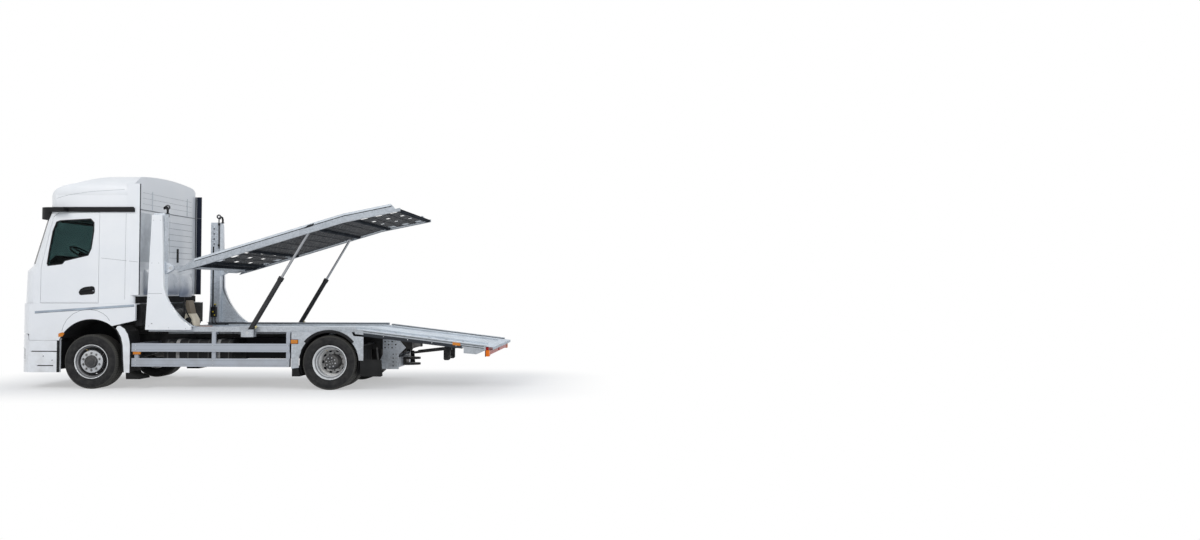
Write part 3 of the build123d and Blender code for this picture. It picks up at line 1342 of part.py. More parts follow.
pieces = {
    "chassis_frame": chassis_frame,
    "engine_and_driveline": engine_and_driveline,
    "front_axle": front_axle,
    "rear_axle": rear_axle,
    "side_tanks": side_tanks,
    "side_guards": side_guards,
    "front_bumper": front_bumper,
    "front_lamps": front_lamps,
    "mudguards": mudguards,
    "lower_deck_frame": lower_deck_frame,
    "lower_deck_floor": lower_deck_floor,
    "deck_posts": deck_posts,
    "post_fairings": post_fairings,
    "coupling_carrier": coupling_carrier,
    "tow_coupling": tow_coupling,
    "cab_shell": cab_shell,
    "cab_roof": cab_roof,
    "windscreen": windscreen,
    "grille_panel": grille_panel,
    "wheel_skirts": wheel_skirts,
    "roof_trim": roof_trim,
    "cab_interior": cab_interior,
    "door_left": door_left,
    "door_right": door_right,
    "door_glass_left": door_glass_left,
    "door_glass_right": door_glass_right,
    "upper_deck_frame": upper_deck_frame,
    "upper_deck_floor": upper_deck_floor,
    "cylinder_barrel_left": barrel_left,
    "cylinder_barrel_right": barrel_right,
    "cylinder_rod_left": rod_left,
    "cylinder_rod_right": rod_right,
    "rear_deck_frame": rear_deck_frame,
    "rear_deck_floor": rear_deck_floor,
    "tail_lamps": tail_lamps,
    "knuckle_left": knuckle_left,
    "knuckle_right": knuckle_right,
    "front_tyre_left": front_tyre_left,
    "front_tyre_right": front_tyre_right,
    "front_rim_left": front_rim_left,
    "front_rim_right": front_rim_right,
    "rear_tyres_left": rear_tyres_left,
    "rear_tyres_right": rear_tyres_right,
    "rear_rims_left": rear_rims_left,
    "rear_rims_right": rear_rims_right,
}
os.makedirs("parts", exist_ok=True)
for name, piece in pieces.items():
    piece.part.label = name
    export_step(piece.part, f"parts/{name}.step")
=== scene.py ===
import math
import bmesh
import bpy
from mathutils import Matrix, Vector
from mathutils.bvhtree import BVHTree


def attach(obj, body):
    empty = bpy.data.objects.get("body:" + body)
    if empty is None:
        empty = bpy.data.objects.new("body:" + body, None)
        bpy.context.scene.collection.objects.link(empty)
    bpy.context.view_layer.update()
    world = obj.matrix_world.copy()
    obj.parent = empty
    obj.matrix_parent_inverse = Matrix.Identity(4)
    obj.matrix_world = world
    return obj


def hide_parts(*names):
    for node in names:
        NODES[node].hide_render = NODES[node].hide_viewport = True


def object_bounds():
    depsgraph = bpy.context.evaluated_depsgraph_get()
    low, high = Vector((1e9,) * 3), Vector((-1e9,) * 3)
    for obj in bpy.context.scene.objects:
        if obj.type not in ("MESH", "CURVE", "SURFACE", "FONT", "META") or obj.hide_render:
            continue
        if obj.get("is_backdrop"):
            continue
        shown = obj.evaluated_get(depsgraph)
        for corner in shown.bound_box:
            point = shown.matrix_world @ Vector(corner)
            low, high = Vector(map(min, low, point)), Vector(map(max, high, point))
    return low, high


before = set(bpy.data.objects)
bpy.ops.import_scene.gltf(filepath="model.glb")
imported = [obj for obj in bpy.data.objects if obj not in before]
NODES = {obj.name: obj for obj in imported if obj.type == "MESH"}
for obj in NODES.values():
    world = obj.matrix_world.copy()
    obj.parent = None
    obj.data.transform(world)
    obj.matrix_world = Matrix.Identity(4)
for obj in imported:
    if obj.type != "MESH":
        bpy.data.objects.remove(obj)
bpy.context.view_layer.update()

# Places taken over from the CAD source, in metres; a pair is in x and z
FRONT_AXLE = 2.81
REAR_AXLE = -1.39
TYRE_RADIUS = 0.475
WHEEL_Y = 1.08
CAB_ARCH = (2.795, 0.6)
REAR_HUB = (REAR_AXLE, TYRE_RADIUS)
PIVOT = (1.47, 2.117)
DECK_START, DECK_BREAK = 0.59, 3.09
DECK_SLOPE, DECK_END_SLOPE = math.tan(math.radians(16.8)), math.tan(math.radians(11.5))
REAR_HINGE, REAR_TOP, REAR_SLOPE = -1.84, 1.06, math.tan(math.radians(6.9))
FLOOR_TOP = 1.0405
BEAM_FACE = 1.2495

# Heights of the side guards' beams; tanks from and to in y, from and to in z, and their corner radius
GUARD_BEAMS = ((0.655, 0.8), (0.395, 0.54))
FUEL_TANK = (0.47, 1.12, 0.4, 0.86, 0.09)
AIR_TANK = (-0.86, -0.47, 0.48, 0.86, 0.18)

# Heights and circles of what is built on the CAD: headlamps, wheel nuts, face under the carrier's bolts
LAMP_Z = 0.617
PLATE_FACE = 0.4445
NUT_CIRCLE, NUT_TURN = 0.15, 0.3

# Patterns: width of a row of tread and blocks round half a tyre, pitch of the grille's openings
TREAD_ROW, TREAD_BLOCKS, SHOULDER_BLOCKS = 0.069, 46, 60
MESH_PITCH = 0.022
BEVEL_ANGLE = 35

# Starts of the rays that find the cab's skin, and how far a piece reaches under it
FAR_FRONT = 4.6
FAR_SIDE = 1.4
AHEAD = Vector((-1, 0, 0))
SUNK = 0.004

SIDES = {1: "left", -1: "right"}
SIDED_BODIES = ("door", "barrel", "rod", "wheel_front", "wheel_rear")


class Nodes:
    """A node tree, with short ways to add to it."""

    def __init__(self, tree):
        self.tree = tree

    def node(self, kind, inputs=None, **props):
        made = self.tree.nodes.new(kind)
        for key, value in props.items():
            setattr(made, key, value)
        for key, value in (inputs or {}).items():
            self.put(made.inputs[key], value)
        return made

    def put(self, socket, value):
        if isinstance(value, bpy.types.NodeSocket):
            self.tree.links.new(value, socket)
        else:
            socket.default_value = value

    def math(self, operation, first, second=0, clamp=False):
        return self.node("ShaderNodeMath", {0: first, 1: second}, operation=operation, use_clamp=clamp).outputs[0]

    def times(self, first, *others):
        for other in others:
            first = self.math("MULTIPLY", first, other)
        return first

    def plus(self, first, second):
        return self.math("ADD", first, second)

    def minus(self, first, second):
        return self.math("SUBTRACT", first, second)

    def most(self, first, second):
        return self.math("MAXIMUM", first, second)

    def over(self, value, limit):
        return self.math("GREATER_THAN", value, limit)

    def fold(self, value):
        return self.math("PINGPONG", value, 0.5)

    def length(self, first, second):
        return self.math("SQRT", self.plus(self.times(first, first), self.times(second, second)))

    def seen(self):
        """1 for what is seen straight, in gloss or through glass, and 0 for the light it gives to other surfaces."""
        rays = self.node("ShaderNodeLightPath").outputs
        return self.most(self.most(rays["Is Camera Ray"], rays["Is Glossy Ray"]), rays["Is Transmission Ray"])

    def result(self, socket, factor, first, second):
        """Puts a blend of two shaders on the tree's output."""
        self.put(socket, self.node("ShaderNodeMixShader", {0: factor, 1: first, 2: second}).outputs[0])


class Shade(Nodes):
    """A node material on the principled shader; its pattern lies in the object's own coordinates."""

    def __init__(self, name, **sockets):
        self.material = bpy.data.materials.new(name)
        self.material.use_nodes = True
        super().__init__(self.material.node_tree)
        self.shader = self.tree.nodes["Principled BSDF"]
        for key, value in sockets.items():
            self.shader.inputs[key.replace("_", " ")].default_value = value
        self.place = self.node("ShaderNodeTexCoord").outputs["Object"]

    def noise(self, scale, detail=4, stretch=None):
        place = self.place
        if stretch:
            place = self.node("ShaderNodeMapping", {"Vector": place, "Scale": stretch}).outputs[0]
        inputs = {"Vector": place, "Scale": scale, "Detail": detail, "Roughness": 0.55}
        return self.node("ShaderNodeTexNoise", inputs).outputs["Fac"]

    def cloud(self, scale, detail=4, low=0, high=1):
        """Noise spread between two values."""
        return self.span(self.noise(scale, detail), 0.3, 0.7, low, high)

    def cells(self, scale):
        return self.node("ShaderNodeTexVoronoi", {"Vector": self.place, "Scale": scale}).outputs

    def grain(self, scale):
        """One random value to each cell."""
        return self.node("ShaderNodeSeparateColor", {"Color": self.cells(scale)["Color"]}).outputs[0]

    def ribs(self, scale, direction, distortion=0):
        inputs = {"Vector": self.place, "Scale": scale, "Distortion": distortion}
        return self.node("ShaderNodeTexWave", inputs, bands_direction=direction).outputs["Fac"]

    def span(self, value, low, high, to_low=0, to_high=1):
        inputs = {"Value": value, "From Min": low, "From Max": high, "To Min": to_low, "To Max": to_high}
        return self.node("ShaderNodeMapRange", inputs, interpolation_type="SMOOTHSTEP").outputs["Result"]

    def mix(self, factor, first, second):
        first, second = [(*tone, 1) if isinstance(tone, tuple) else tone for tone in (first, second)]
        inputs = {"Factor": factor, "A": first, "B": second}
        return self.node("ShaderNodeMix", inputs, data_type="RGBA").outputs["Result"]

    def parts(self, vector):
        return self.node("ShaderNodeSeparateXYZ", {"Vector": vector}).outputs

    def axes(self):
        return self.parts(self.place)

    def tiled(self, scale, turn=0):
        """X, Y and Z counted in tiles, turned about Z."""
        inputs = {"Vector": self.place, "Rotation": (0, 0, turn), "Scale": (scale,) * 3}
        return self.parts(self.node("ShaderNodeMapping", inputs).outputs[0])

    def soiled(self, tone, top, share, dirt):
        """Tone with road dirt on it, more towards the ground and broken up by noise."""
        low = self.span(self.axes()["Z"], top, 0.25)
        patch = self.span(self.noise(5, 6), 0.35, 0.75)
        return self.mix(self.times(self.math("MULTIPLY", low, patch, True), share), tone, dirt)

    def finish(self, colour, rough=None, height=None, strength=0.3, distance=0.002):
        self.put(self.shader.inputs["Base Color"], colour)
        if rough is not None:
            self.put(self.shader.inputs["Roughness"], rough)
        if height is not None:
            inputs = {"Height": height, "Strength": strength, "Distance": distance}
            self.put(self.shader.inputs["Normal"], self.node("ShaderNodeBump", inputs).outputs[0])
        return self.material


def paint_white(name="white_paint", lined=False):
    """White paint; on the cab's nodes the faces that look inwards are painted dark grey as shade on the lining, and the
    front pillars black.
    """
    s = Shade(name, Coat_Weight=0.5, Coat_Roughness=0.06)
    tone = s.mix(s.cloud(1.3, 3), (0.8, 0.815, 0.84), (0.84, 0.85, 0.865))
    colour = s.soiled(tone, 1.3, 0.35, (0.42, 0.4, 0.37))
    if lined:
        x, y, z = s.axes()
        facing_x, facing_y, facing_z = s.parts(s.node("ShaderNodeTexCoord").outputs["Normal"])
        side = s.span(s.times(s.math("SIGN", y), facing_y), -0.5, -0.7)
        top = s.span(facing_z, -0.5, -0.7)
        back = s.times(s.span(facing_x, 0.5, 0.7), s.math("LESS_THAN", x, 2.5))
        # painted shade: faces that look into the cab are made dark grey
        inward_shade = s.times(s.most(s.most(side, top), back), s.over(x, 2.12))
        colour = s.mix(inward_shade, colour, (0.1, 0.105, 0.11))
        height = s.times(s.over(z, 2.185), s.math("LESS_THAN", z, 3))
        pillar = s.times(s.over(s.plus(x, s.times(z, 0.294)), 4.537), height)
        colour = s.mix(pillar, colour, (0.012, 0.013, 0.016))
    return s.finish(colour, s.cloud(9, 5, 0.28, 0.34), s.noise(90, 2), 0.02, 0.0004)


def wall_fold():
    """Pale panel with painted shade that turns it blue grey towards its lower edge."""
    s = Shade("wall_fold", Coat_Weight=0.4, Coat_Roughness=0.1)
    low = s.span(s.plus(s.axes()["Z"], s.times(s.noise(3), 0.15)), 1.95, 1.73)
    tone = s.mix(low, (0.66, 0.68, 0.71), (0.29, 0.33, 0.42))
    return s.finish(tone, s.cloud(8, 4, 0.25, 0.35), s.noise(60, 3), 0.05, 0.001)


def spangle(s):
    """Crystal grain of a zinc coat, and its blend with slow clouds."""
    grain = s.grain(46)
    blend = s.math("ADD", s.times(grain, 0.45), s.times(s.noise(3.2, 5), 0.75), True)
    return grain, s.span(blend, 0.25, 0.9)


def zinc(s, colour, grain):
    return s.finish(colour, s.span(grain, 0, 1, 0.36, 0.56), s.plus(grain, s.noise(60)), 0.1, 0.001)


def galvanised(name="galvanised", bright=1, dirt_top=1.15):
    s = Shade(name, Metallic=0.4)
    grain, blend = spangle(s)
    tones = ((0.375, 0.4, 0.43), (0.5, 0.53, 0.565), (0.6, 0.62, 0.64))
    dark, light, run = [tuple(bright * part for part in tone) for tone in tones]
    runs = s.span(s.noise(14, 4, (1, 1, 0.12)), 0.55, 0.8)
    tone = s.mix(s.times(runs, 0.25), s.mix(blend, dark, light), run)
    return zinc(s, s.soiled(tone, dirt_top, 0.4, (0.2, 0.185, 0.165)), grain)


def deck_galvanised():
    """Galvanised beams, with the bars under the floor painted dark as shade and given less metal and gloss."""
    s = Shade("deck_galvanised")
    grain, blend = spangle(s)
    outer = s.mix(blend, (0.31, 0.34, 0.37), (0.43, 0.46, 0.5))
    # painted shade: the bars under the floor, away from the outer faces, take this dark tone
    inner = s.mix(blend, (0.026, 0.029, 0.034), (0.06, 0.066, 0.074))
    x, y, _ = s.axes()
    side = s.most(s.span(s.math("ABSOLUTE", y), 1.18, 1.2), s.span(x, 1.085, 1.1))
    s.put(s.shader.inputs["Metallic"], s.times(side, 0.35))
    s.put(s.shader.inputs["Specular IOR Level"], s.times(side, 0.5))
    return zinc(s, s.mix(side, inner, outer), grain)


def aluminium(name="aluminium_rail", bright=1):
    s = Shade(name, Metallic=0.5)
    lines = s.noise(30, 4, (0.06, 1, 9))
    dark, light = [tuple(bright * part for part in tone) for tone in ((0.34, 0.37, 0.42), (0.43, 0.46, 0.51))]
    colour = s.soiled(s.mix(lines, dark, light), 0.95, 0.35, (0.24, 0.23, 0.22))
    return s.finish(colour, s.span(lines, 0.2, 0.8, 0.34, 0.5), lines, 0.08, 0.0008)


def dark_metal(name, dark, light, rough_low, rough_high, dirt, dirt_top=1.1):
    s = Shade(name, Metallic=0.1, Specular_IOR_Level=0.25)
    colour = s.soiled(s.mix(s.cloud(7, 6), dark, light), dirt_top, dirt, (0.2, 0.18, 0.155))
    return s.finish(colour, s.cloud(22, 5, rough_low, rough_high), s.noise(150), 0.15, 0.001)


def plastic(name, tone, rough=0.55, grain=700):
    s = Shade(name, Specular_IOR_Level=0.16)
    second = tuple(min(1, c * 1.35 + 0.004) for c in tone)
    colour = s.mix(s.span(s.noise(4, 5), 0.35, 0.75), tone, second)
    return s.finish(colour, s.cloud(16, 4, rough - 0.08, rough + 0.08), s.cells(grain)["Distance"], 0.12, 0.0006)


def wheel_place(s):
    """1 on the front wheels, then x and z from the axle, the radius, and the distance outwards."""
    x, y, z = s.axes()
    front = s.over(x, 0.7)
    axle = s.plus(s.times(front, FRONT_AXLE - REAR_AXLE), REAR_AXLE)
    x, z = s.minus(x, axle), s.minus(z, TYRE_RADIUS)
    return front, x, z, s.length(x, z), s.minus(s.math("ABSOLUTE", y), WHEEL_Y)


def tyre_rubber():
    """Rubber with tread blocks on the run, the grooves between them painted dark as shade, and rings on the side walls.
    """
    s = Shade("tyre_rubber", Specular_IOR_Level=0.16)
    _, x, z, radius, outwards = wheel_place(s)
    angle = s.math("ARCTAN2", z, x)
    tread = s.span(radius, 0.452, 0.46)
    rows = s.times(outwards, 1 / TREAD_ROW)
    turn = s.plus(s.times(angle, TREAD_BLOCKS / math.pi), s.times(s.math("FLOOR", rows), 0.37))
    block = s.times(s.span(s.fold(rows), 0.06, 0.11), s.span(s.fold(turn), 0.05, 0.1))
    ring = s.span(s.fold(s.times(radius, 30)), 0.38, 0.46)
    shoulder = s.times(s.fold(s.times(angle, SHOULDER_BLOCKS / math.pi)), s.span(radius, 0.43, 0.445))
    wall = s.plus(s.times(ring, 0.5), s.times(s.span(shoulder, 0.2, 0.3), 0.5))
    height = s.plus(s.times(tread, block), s.times(s.minus(1, tread), wall))
    tone = s.mix(s.span(s.noise(9, 6), 0.3, 0.75), (0.016, 0.016, 0.017), (0.036, 0.035, 0.034))
    tone = s.mix(s.times(s.span(radius, 0.436, 0.456), 0.75), tone, (0.085, 0.082, 0.074))
    # painted shade in the grooves between the tread blocks
    tone = s.mix(s.times(tread, s.minus(1, block)), tone, (0.008, 0.008, 0.008))
    return s.finish(tone, s.cloud(25, 4, 0.6, 0.78), height, 0.5, 0.004)


def rim_paint():
    """Wheel steel, bright on the lip, with painted shade in the well behind the lip of the front wheels and in rings
    round the barrel of the rear wheels.
    """
    s = Shade("rim_steel", Metallic=0.3)
    front, _, _, radius, outwards = wheel_place(s)
    ring = s.span(s.fold(s.times(outwards, 17)), 0.26, 0.4)
    barrel_ring_shade = s.times(s.minus(1, front), s.times(ring, s.span(radius, 0.296, 0.29)))
    front_well_shade = s.times(front, s.times(s.span(radius, 0.194, 0.198), s.span(radius, 0.286, 0.279)))
    edge = s.times(s.span(radius, 0.256, 0.259), s.span(radius, 0.27, 0.267))
    tone = s.mix(s.cloud(12, 5), (0.66, 0.67, 0.68), (0.82, 0.83, 0.84))
    dark = s.mix(s.span(radius, 0.226, 0.262), (0.02, 0.02, 0.021), (0.17, 0.17, 0.175))
    # painted shade: the dark well of the front wheels, then dark rings on the rear barrels
    tone = s.mix(front_well_shade, tone, s.mix(s.times(edge, 0.7), dark, (0.45, 0.45, 0.46)))
    tone = s.mix(s.times(barrel_ring_shade, 0.8), tone, (0.1, 0.1, 0.105))
    grime = s.times(s.span(s.noise(26, 6), 0.5, 0.75), 0.3)
    return s.finish(s.mix(grime, tone, (0.15, 0.14, 0.13)), s.cloud(30, 4, 0.28, 0.42), s.noise(90), 0.1, 0.0008)


def chrome():
    s = Shade("chrome_rod", Metallic=1)
    tone = s.mix(s.noise(30, 3), (0.3, 0.31, 0.33), (0.42, 0.43, 0.45))
    return s.finish(tone, s.cloud(50, 5, 0.12, 0.24), s.noise(300), 0.03, 0.0004)


def tinted_glass():
    s = Shade("tinted_glass", IOR=1.14, Transmission_Weight=1, Specular_IOR_Level=0.3)
    tone = s.mix(s.span(s.noise(3, 5), 0.4, 0.8), (0.13, 0.2, 0.2), (0.19, 0.27, 0.265))
    return s.finish(tone, s.span(s.noise(7), 0.3, 0.8, 0, 0.012))


def lens(name, tone, second, transmission=0.25, gloss=0.3):
    s = Shade(name, IOR=1.49, Transmission_Weight=transmission, Specular_IOR_Level=gloss)
    ribs = s.ribs(28, "Z")
    return s.finish(s.mix(s.times(ribs, 0.6), tone, second), s.cloud(40, 4, 0.08, 0.18), ribs, 0.25, 0.002)


def tail_lamp_glass():
    """Red lens over the turn lamps, which are orange."""
    s = Shade("tail_lamp_glass", IOR=1.49, Specular_IOR_Level=0.02)
    ribs = s.ribs(30, "Y")
    red = s.mix(s.times(ribs, 0.6), (0.52, 0.022, 0.018), (0.32, 0.012, 0.01))
    orange = s.mix(s.times(ribs, 0.6), (0.85, 0.22, 0.03), (0.62, 0.12, 0.012))
    colour = s.mix(s.over(s.axes()["Z"], 0.7005), orange, red)
    return s.finish(colour, s.cloud(40, 4, 0.08, 0.18), ribs, 0.25, 0.002)


def chequer_plate():
    """Galvanised floor sheet with raised bars crossing each other."""
    s = Shade("chequer_plate", Metallic=0.55)
    x, y, _ = s.tiled(32, math.radians(45))
    along = s.fold(s.plus(x, s.times(s.math("FLOOR", y), 0.5)))
    bar = s.times(s.span(along, 0.34, 0.2), s.span(s.fold(y), 0.2, 0.34))
    cloud = s.noise(2.4, 6)
    tone = s.mix(s.span(cloud, 0.3, 0.7), (0.25, 0.3, 0.36), (0.42, 0.48, 0.55))
    tone = s.mix(s.times(bar, 0.35), tone, (0.62, 0.67, 0.72))
    colour = s.mix(s.span(s.noise(6, 6), 0.55, 0.8, 0, 0.45), tone, (0.22, 0.205, 0.19))
    return s.finish(colour, s.span(cloud, 0.3, 0.7, 0.38, 0.56), bar, 0.5, 0.003)


def perforated_sheet():
    """Sheet painted very dark as the shade under the deck, with rows of round punched holes painted darker still as
    shade.
    """
    s = Shade("perforated_sheet", Specular_IOR_Level=0.03)
    x, y, _ = s.tiled(15)
    across = s.minus(s.math("FRACT", y), 0.5)
    along = s.minus(s.math("FRACT", s.plus(x, s.times(s.math("FLOOR", y), 0.5))), 0.5)
    far = s.length(across, along)
    hole = s.span(far, 0.3, 0.24)
    rim = s.times(s.span(far, 0.42, 0.34), s.span(far, 0.26, 0.32))
    # painted shade: the sheet's tone is kept very dark
    tone = s.mix(s.cloud(3, 6), (0.012, 0.014, 0.018), (0.034, 0.038, 0.045))
    tone = s.mix(s.span(s.grain(38), 0.62, 0.95, 0, 0.8), tone, (0.115, 0.125, 0.14))
    tone = s.mix(s.times(rim, 0.5), tone, (0.14, 0.15, 0.165))
    # painted shade in the holes
    colour = s.mix(hole, tone, (0.012, 0.012, 0.013))
    return s.finish(colour, s.cloud(20, 4, 0.4, 0.6), s.minus(rim, hole), 0.6, 0.004)


def grille_sheet():
    """Black sheet with rows of small openings, painted darker than the bars as the shade behind them."""
    s = Shade("grille_mesh")
    _, y, z = s.tiled(1 / MESH_PITCH)
    bar = s.most(s.span(s.fold(s.plus(y, z)), 0.2, 0.12), s.span(s.fold(s.minus(y, z)), 0.2, 0.12))
    colour = s.mix(bar, (0.006, 0.006, 0.006), (0.035, 0.035, 0.037))
    return s.finish(colour, s.cloud(30, 4, 0.45, 0.65), bar, 0.6, 0.004)


def seat_fabric():
    s = Shade("seat_fabric", Sheen_Weight=0.25)
    weave = s.ribs(220, "DIAGONAL", 1)
    colour = s.mix(s.times(s.noise(30), weave), (0.03, 0.032, 0.036), (0.075, 0.078, 0.085))
    return s.finish(colour, s.span(weave, 0, 1, 0.8, 0.92), weave, 0.3, 0.0008)


WHITE = paint_white()
CAB_WHITE = paint_white("cab_paint", True)
WALL_FOLD = wall_fold()
GALV = galvanised()
# Lit and shaded copies of the galvanised material: the posts and coupling carrier lighter as painted light, the ramp
# darker as painted shade
GALV_PAINTED_LIGHT = galvanised("galvanised_posts_painted_light", 1.45, 0.9)
GALV_PAINTED_SHADE = galvanised("galvanised_ramp_painted_shade", 0.82, 0.7)
DECK_GALV = deck_galvanised()
ALU = aluminium()
# A shaded copy of the aluminium, used as painted shade in the guard beams' grooves
ALU_PAINTED_SHADE = aluminium("aluminium_groove_shade", 0.62)
CHROME = chrome()
TYRE = tyre_rubber()
RIM = rim_paint()
GLASS = tinted_glass()
CLEAR = lens("lens_clear", (0.74, 0.76, 0.78), (0.52, 0.54, 0.56), 0.35)
RED = lens("lens_red", (0.5, 0.02, 0.015), (0.34, 0.012, 0.01), 0, 0.02)
AMBER = lens("lens_amber", (0.85, 0.3, 0.03), (0.6, 0.16, 0.01))
TAIL_GLASS = tail_lamp_glass()
CHEQUER = chequer_plate()
PERFORATED = perforated_sheet()
GRILLE_MESH = grille_sheet()
SEAT = seat_fabric()
# A shaded copy of the white paint, used as painted shade
WHITE_PAINTED_SHADE = plastic("white_painted_shade", (0.62, 0.64, 0.66), 0.4)
SEAM = plastic("seam_grey", (0.22, 0.23, 0.245), 0.6)
GROOVE_SHADE = plastic("skirt_groove_shade", (0.33, 0.375, 0.43), 0.5)
DEEP_BLUE = plastic("deflector_dark", (0.012, 0.016, 0.03), 0.45)
RUBBER = plastic("flap_rubber", (0.012, 0.012, 0.012), 0.75, 200)
YELLOW = plastic("yellow_knob", (0.7, 0.55, 0.05), 0.4)
CREAM = plastic("cream_paint", (0.74, 0.66, 0.52), 0.45)
WINCH_TOP = plastic("winch_cover", (0.2, 0.165, 0.125), 0.55)
BROWN = plastic("strap_brown", (0.3, 0.105, 0.045), 0.7, 400)
SHADOW_METAL = plastic("shadow_metal", (0.026, 0.029, 0.034), 0.6)
# Dark painted shade for holes and grooves
DARK_SHADE = plastic("dark_painted_shade", (0.02, 0.022, 0.026), 0.6)
PLATE = plastic("plate_blank", (0.24, 0.245, 0.25), 0.5)
BLACK = plastic("black_plastic", (0.01, 0.01, 0.011))
GLOSS_BLACK = plastic("gloss_black", (0.01, 0.011, 0.013), 0.2, 90)
LINER = plastic("arch_liner", (0.008, 0.008, 0.009), 0.8, 300)
TRIM = plastic("cab_trim", (0.05, 0.052, 0.055), 0.6, 500)
SILVER = dark_metal("silver_trim", (0.52, 0.53, 0.55), (0.64, 0.65, 0.66), 0.25, 0.4, 0.1)
PIPE = dark_metal("pipe_black", (0.03, 0.03, 0.032), (0.07, 0.07, 0.07), 0.35, 0.5, 0.2)
BRASS = dark_metal("brass", (0.5, 0.37, 0.15), (0.62, 0.48, 0.22), 0.3, 0.45, 0.2)
ZINC = dark_metal("zinc_bolt", (0.42, 0.43, 0.44), (0.58, 0.59, 0.6), 0.3, 0.45, 0.2)
LIGHT_ZINC = dark_metal("zinc_light", (0.54, 0.58, 0.62), (0.64, 0.68, 0.72), 0.35, 0.5, 0.1)
YELLOW_ZINC = dark_metal("zinc_yellow", (0.55, 0.47, 0.2), (0.66, 0.58, 0.28), 0.3, 0.45, 0.2)
NUT = dark_metal("nut_steel", (0.2, 0.195, 0.19), (0.36, 0.355, 0.35), 0.35, 0.55, 0.3)
HUB = dark_metal("hub_dark", (0.04, 0.041, 0.044), (0.085, 0.083, 0.082), 0.4, 0.55, 0.2)
CHROME_DARK = dark_metal("rod_steel", (0.045, 0.047, 0.052), (0.1, 0.1, 0.11), 0.25, 0.4, 0.1)
TANK = dark_metal("tank_ribs", (0.03, 0.031, 0.033), (0.06, 0.06, 0.06), 0.4, 0.6, 0.3)
FRAME_BLACK = dark_metal("frame_black", (0.014, 0.014, 0.015), (0.036, 0.036, 0.036), 0.4, 0.6, 0.3)
CAST = dark_metal("cast_metal", (0.035, 0.035, 0.035), (0.085, 0.082, 0.08), 0.5, 0.7, 0.3)
BARREL = dark_metal("barrel_black", (0.018, 0.018, 0.02), (0.035, 0.035, 0.037), 0.22, 0.36, 0.25, 1.2)
DISC = dark_metal("disc_steel", (0.74, 0.73, 0.71), (0.88, 0.87, 0.85), 0.35, 0.5, 0.1)

NODE_MATERIALS = (
    (FRAME_BLACK, "chassis_frame front_axle rear_axle tow_coupling"),
    (CAST, "engine_and_driveline knuckle_left knuckle_right"),
    (BLACK, "side_tanks mudguards roof_trim"),
    (ALU, "side_guards"),
    (WHITE, "front_bumper post_fairings grille_panel wheel_skirts"),
    (CAB_WHITE, "cab_shell cab_roof door_left door_right"),
    (CLEAR, "front_lamps"),
    (TAIL_GLASS, "tail_lamps"),
    (GLASS, "windscreen door_glass_left door_glass_right"),
    (TRIM, "cab_interior"),
    (GALV, "lower_deck_frame"),
    (GALV_PAINTED_LIGHT, "deck_posts coupling_carrier"),
    (GALV_PAINTED_SHADE, "rear_deck_frame"),
    (DECK_GALV, "upper_deck_frame"),
    (CHEQUER, "lower_deck_floor rear_deck_floor"),
    (PERFORATED, "upper_deck_floor"),
    (BARREL, "cylinder_barrel_left cylinder_barrel_right"),
    (CHROME, "cylinder_rod_left cylinder_rod_right"),
    (TYRE, "front_tyre_left front_tyre_right rear_tyres_left rear_tyres_right"),
    (RIM, "front_rim_left front_rim_right rear_rims_left rear_rims_right"),
)
for material, names in NODE_MATERIALS:
    for name in names.split():
        NODES[name].data.materials.clear()
        NODES[name].data.materials.append(material)


def circle(count):
    """Pairs of cosine and sine round a circle."""
    return [(math.cos(a), math.sin(a)) for a in (2 * math.pi * i / count for i in range(count))]


def linked(name, data):
    """New object in the scene."""
    made = bpy.data.objects.new(name, data)
    bpy.context.scene.collection.objects.link(made)
    return made


def resampled(points, step):
    """Points of a line, at most a step apart."""
    points = [Vector(p) for p in points]
    line = [points[0]]
    for near, far in zip(points, points[1:]):
        count = max(1, math.ceil((far - near).length / step))
        line += [near.lerp(far, i / count) for i in range(1, count + 1)]
    return line


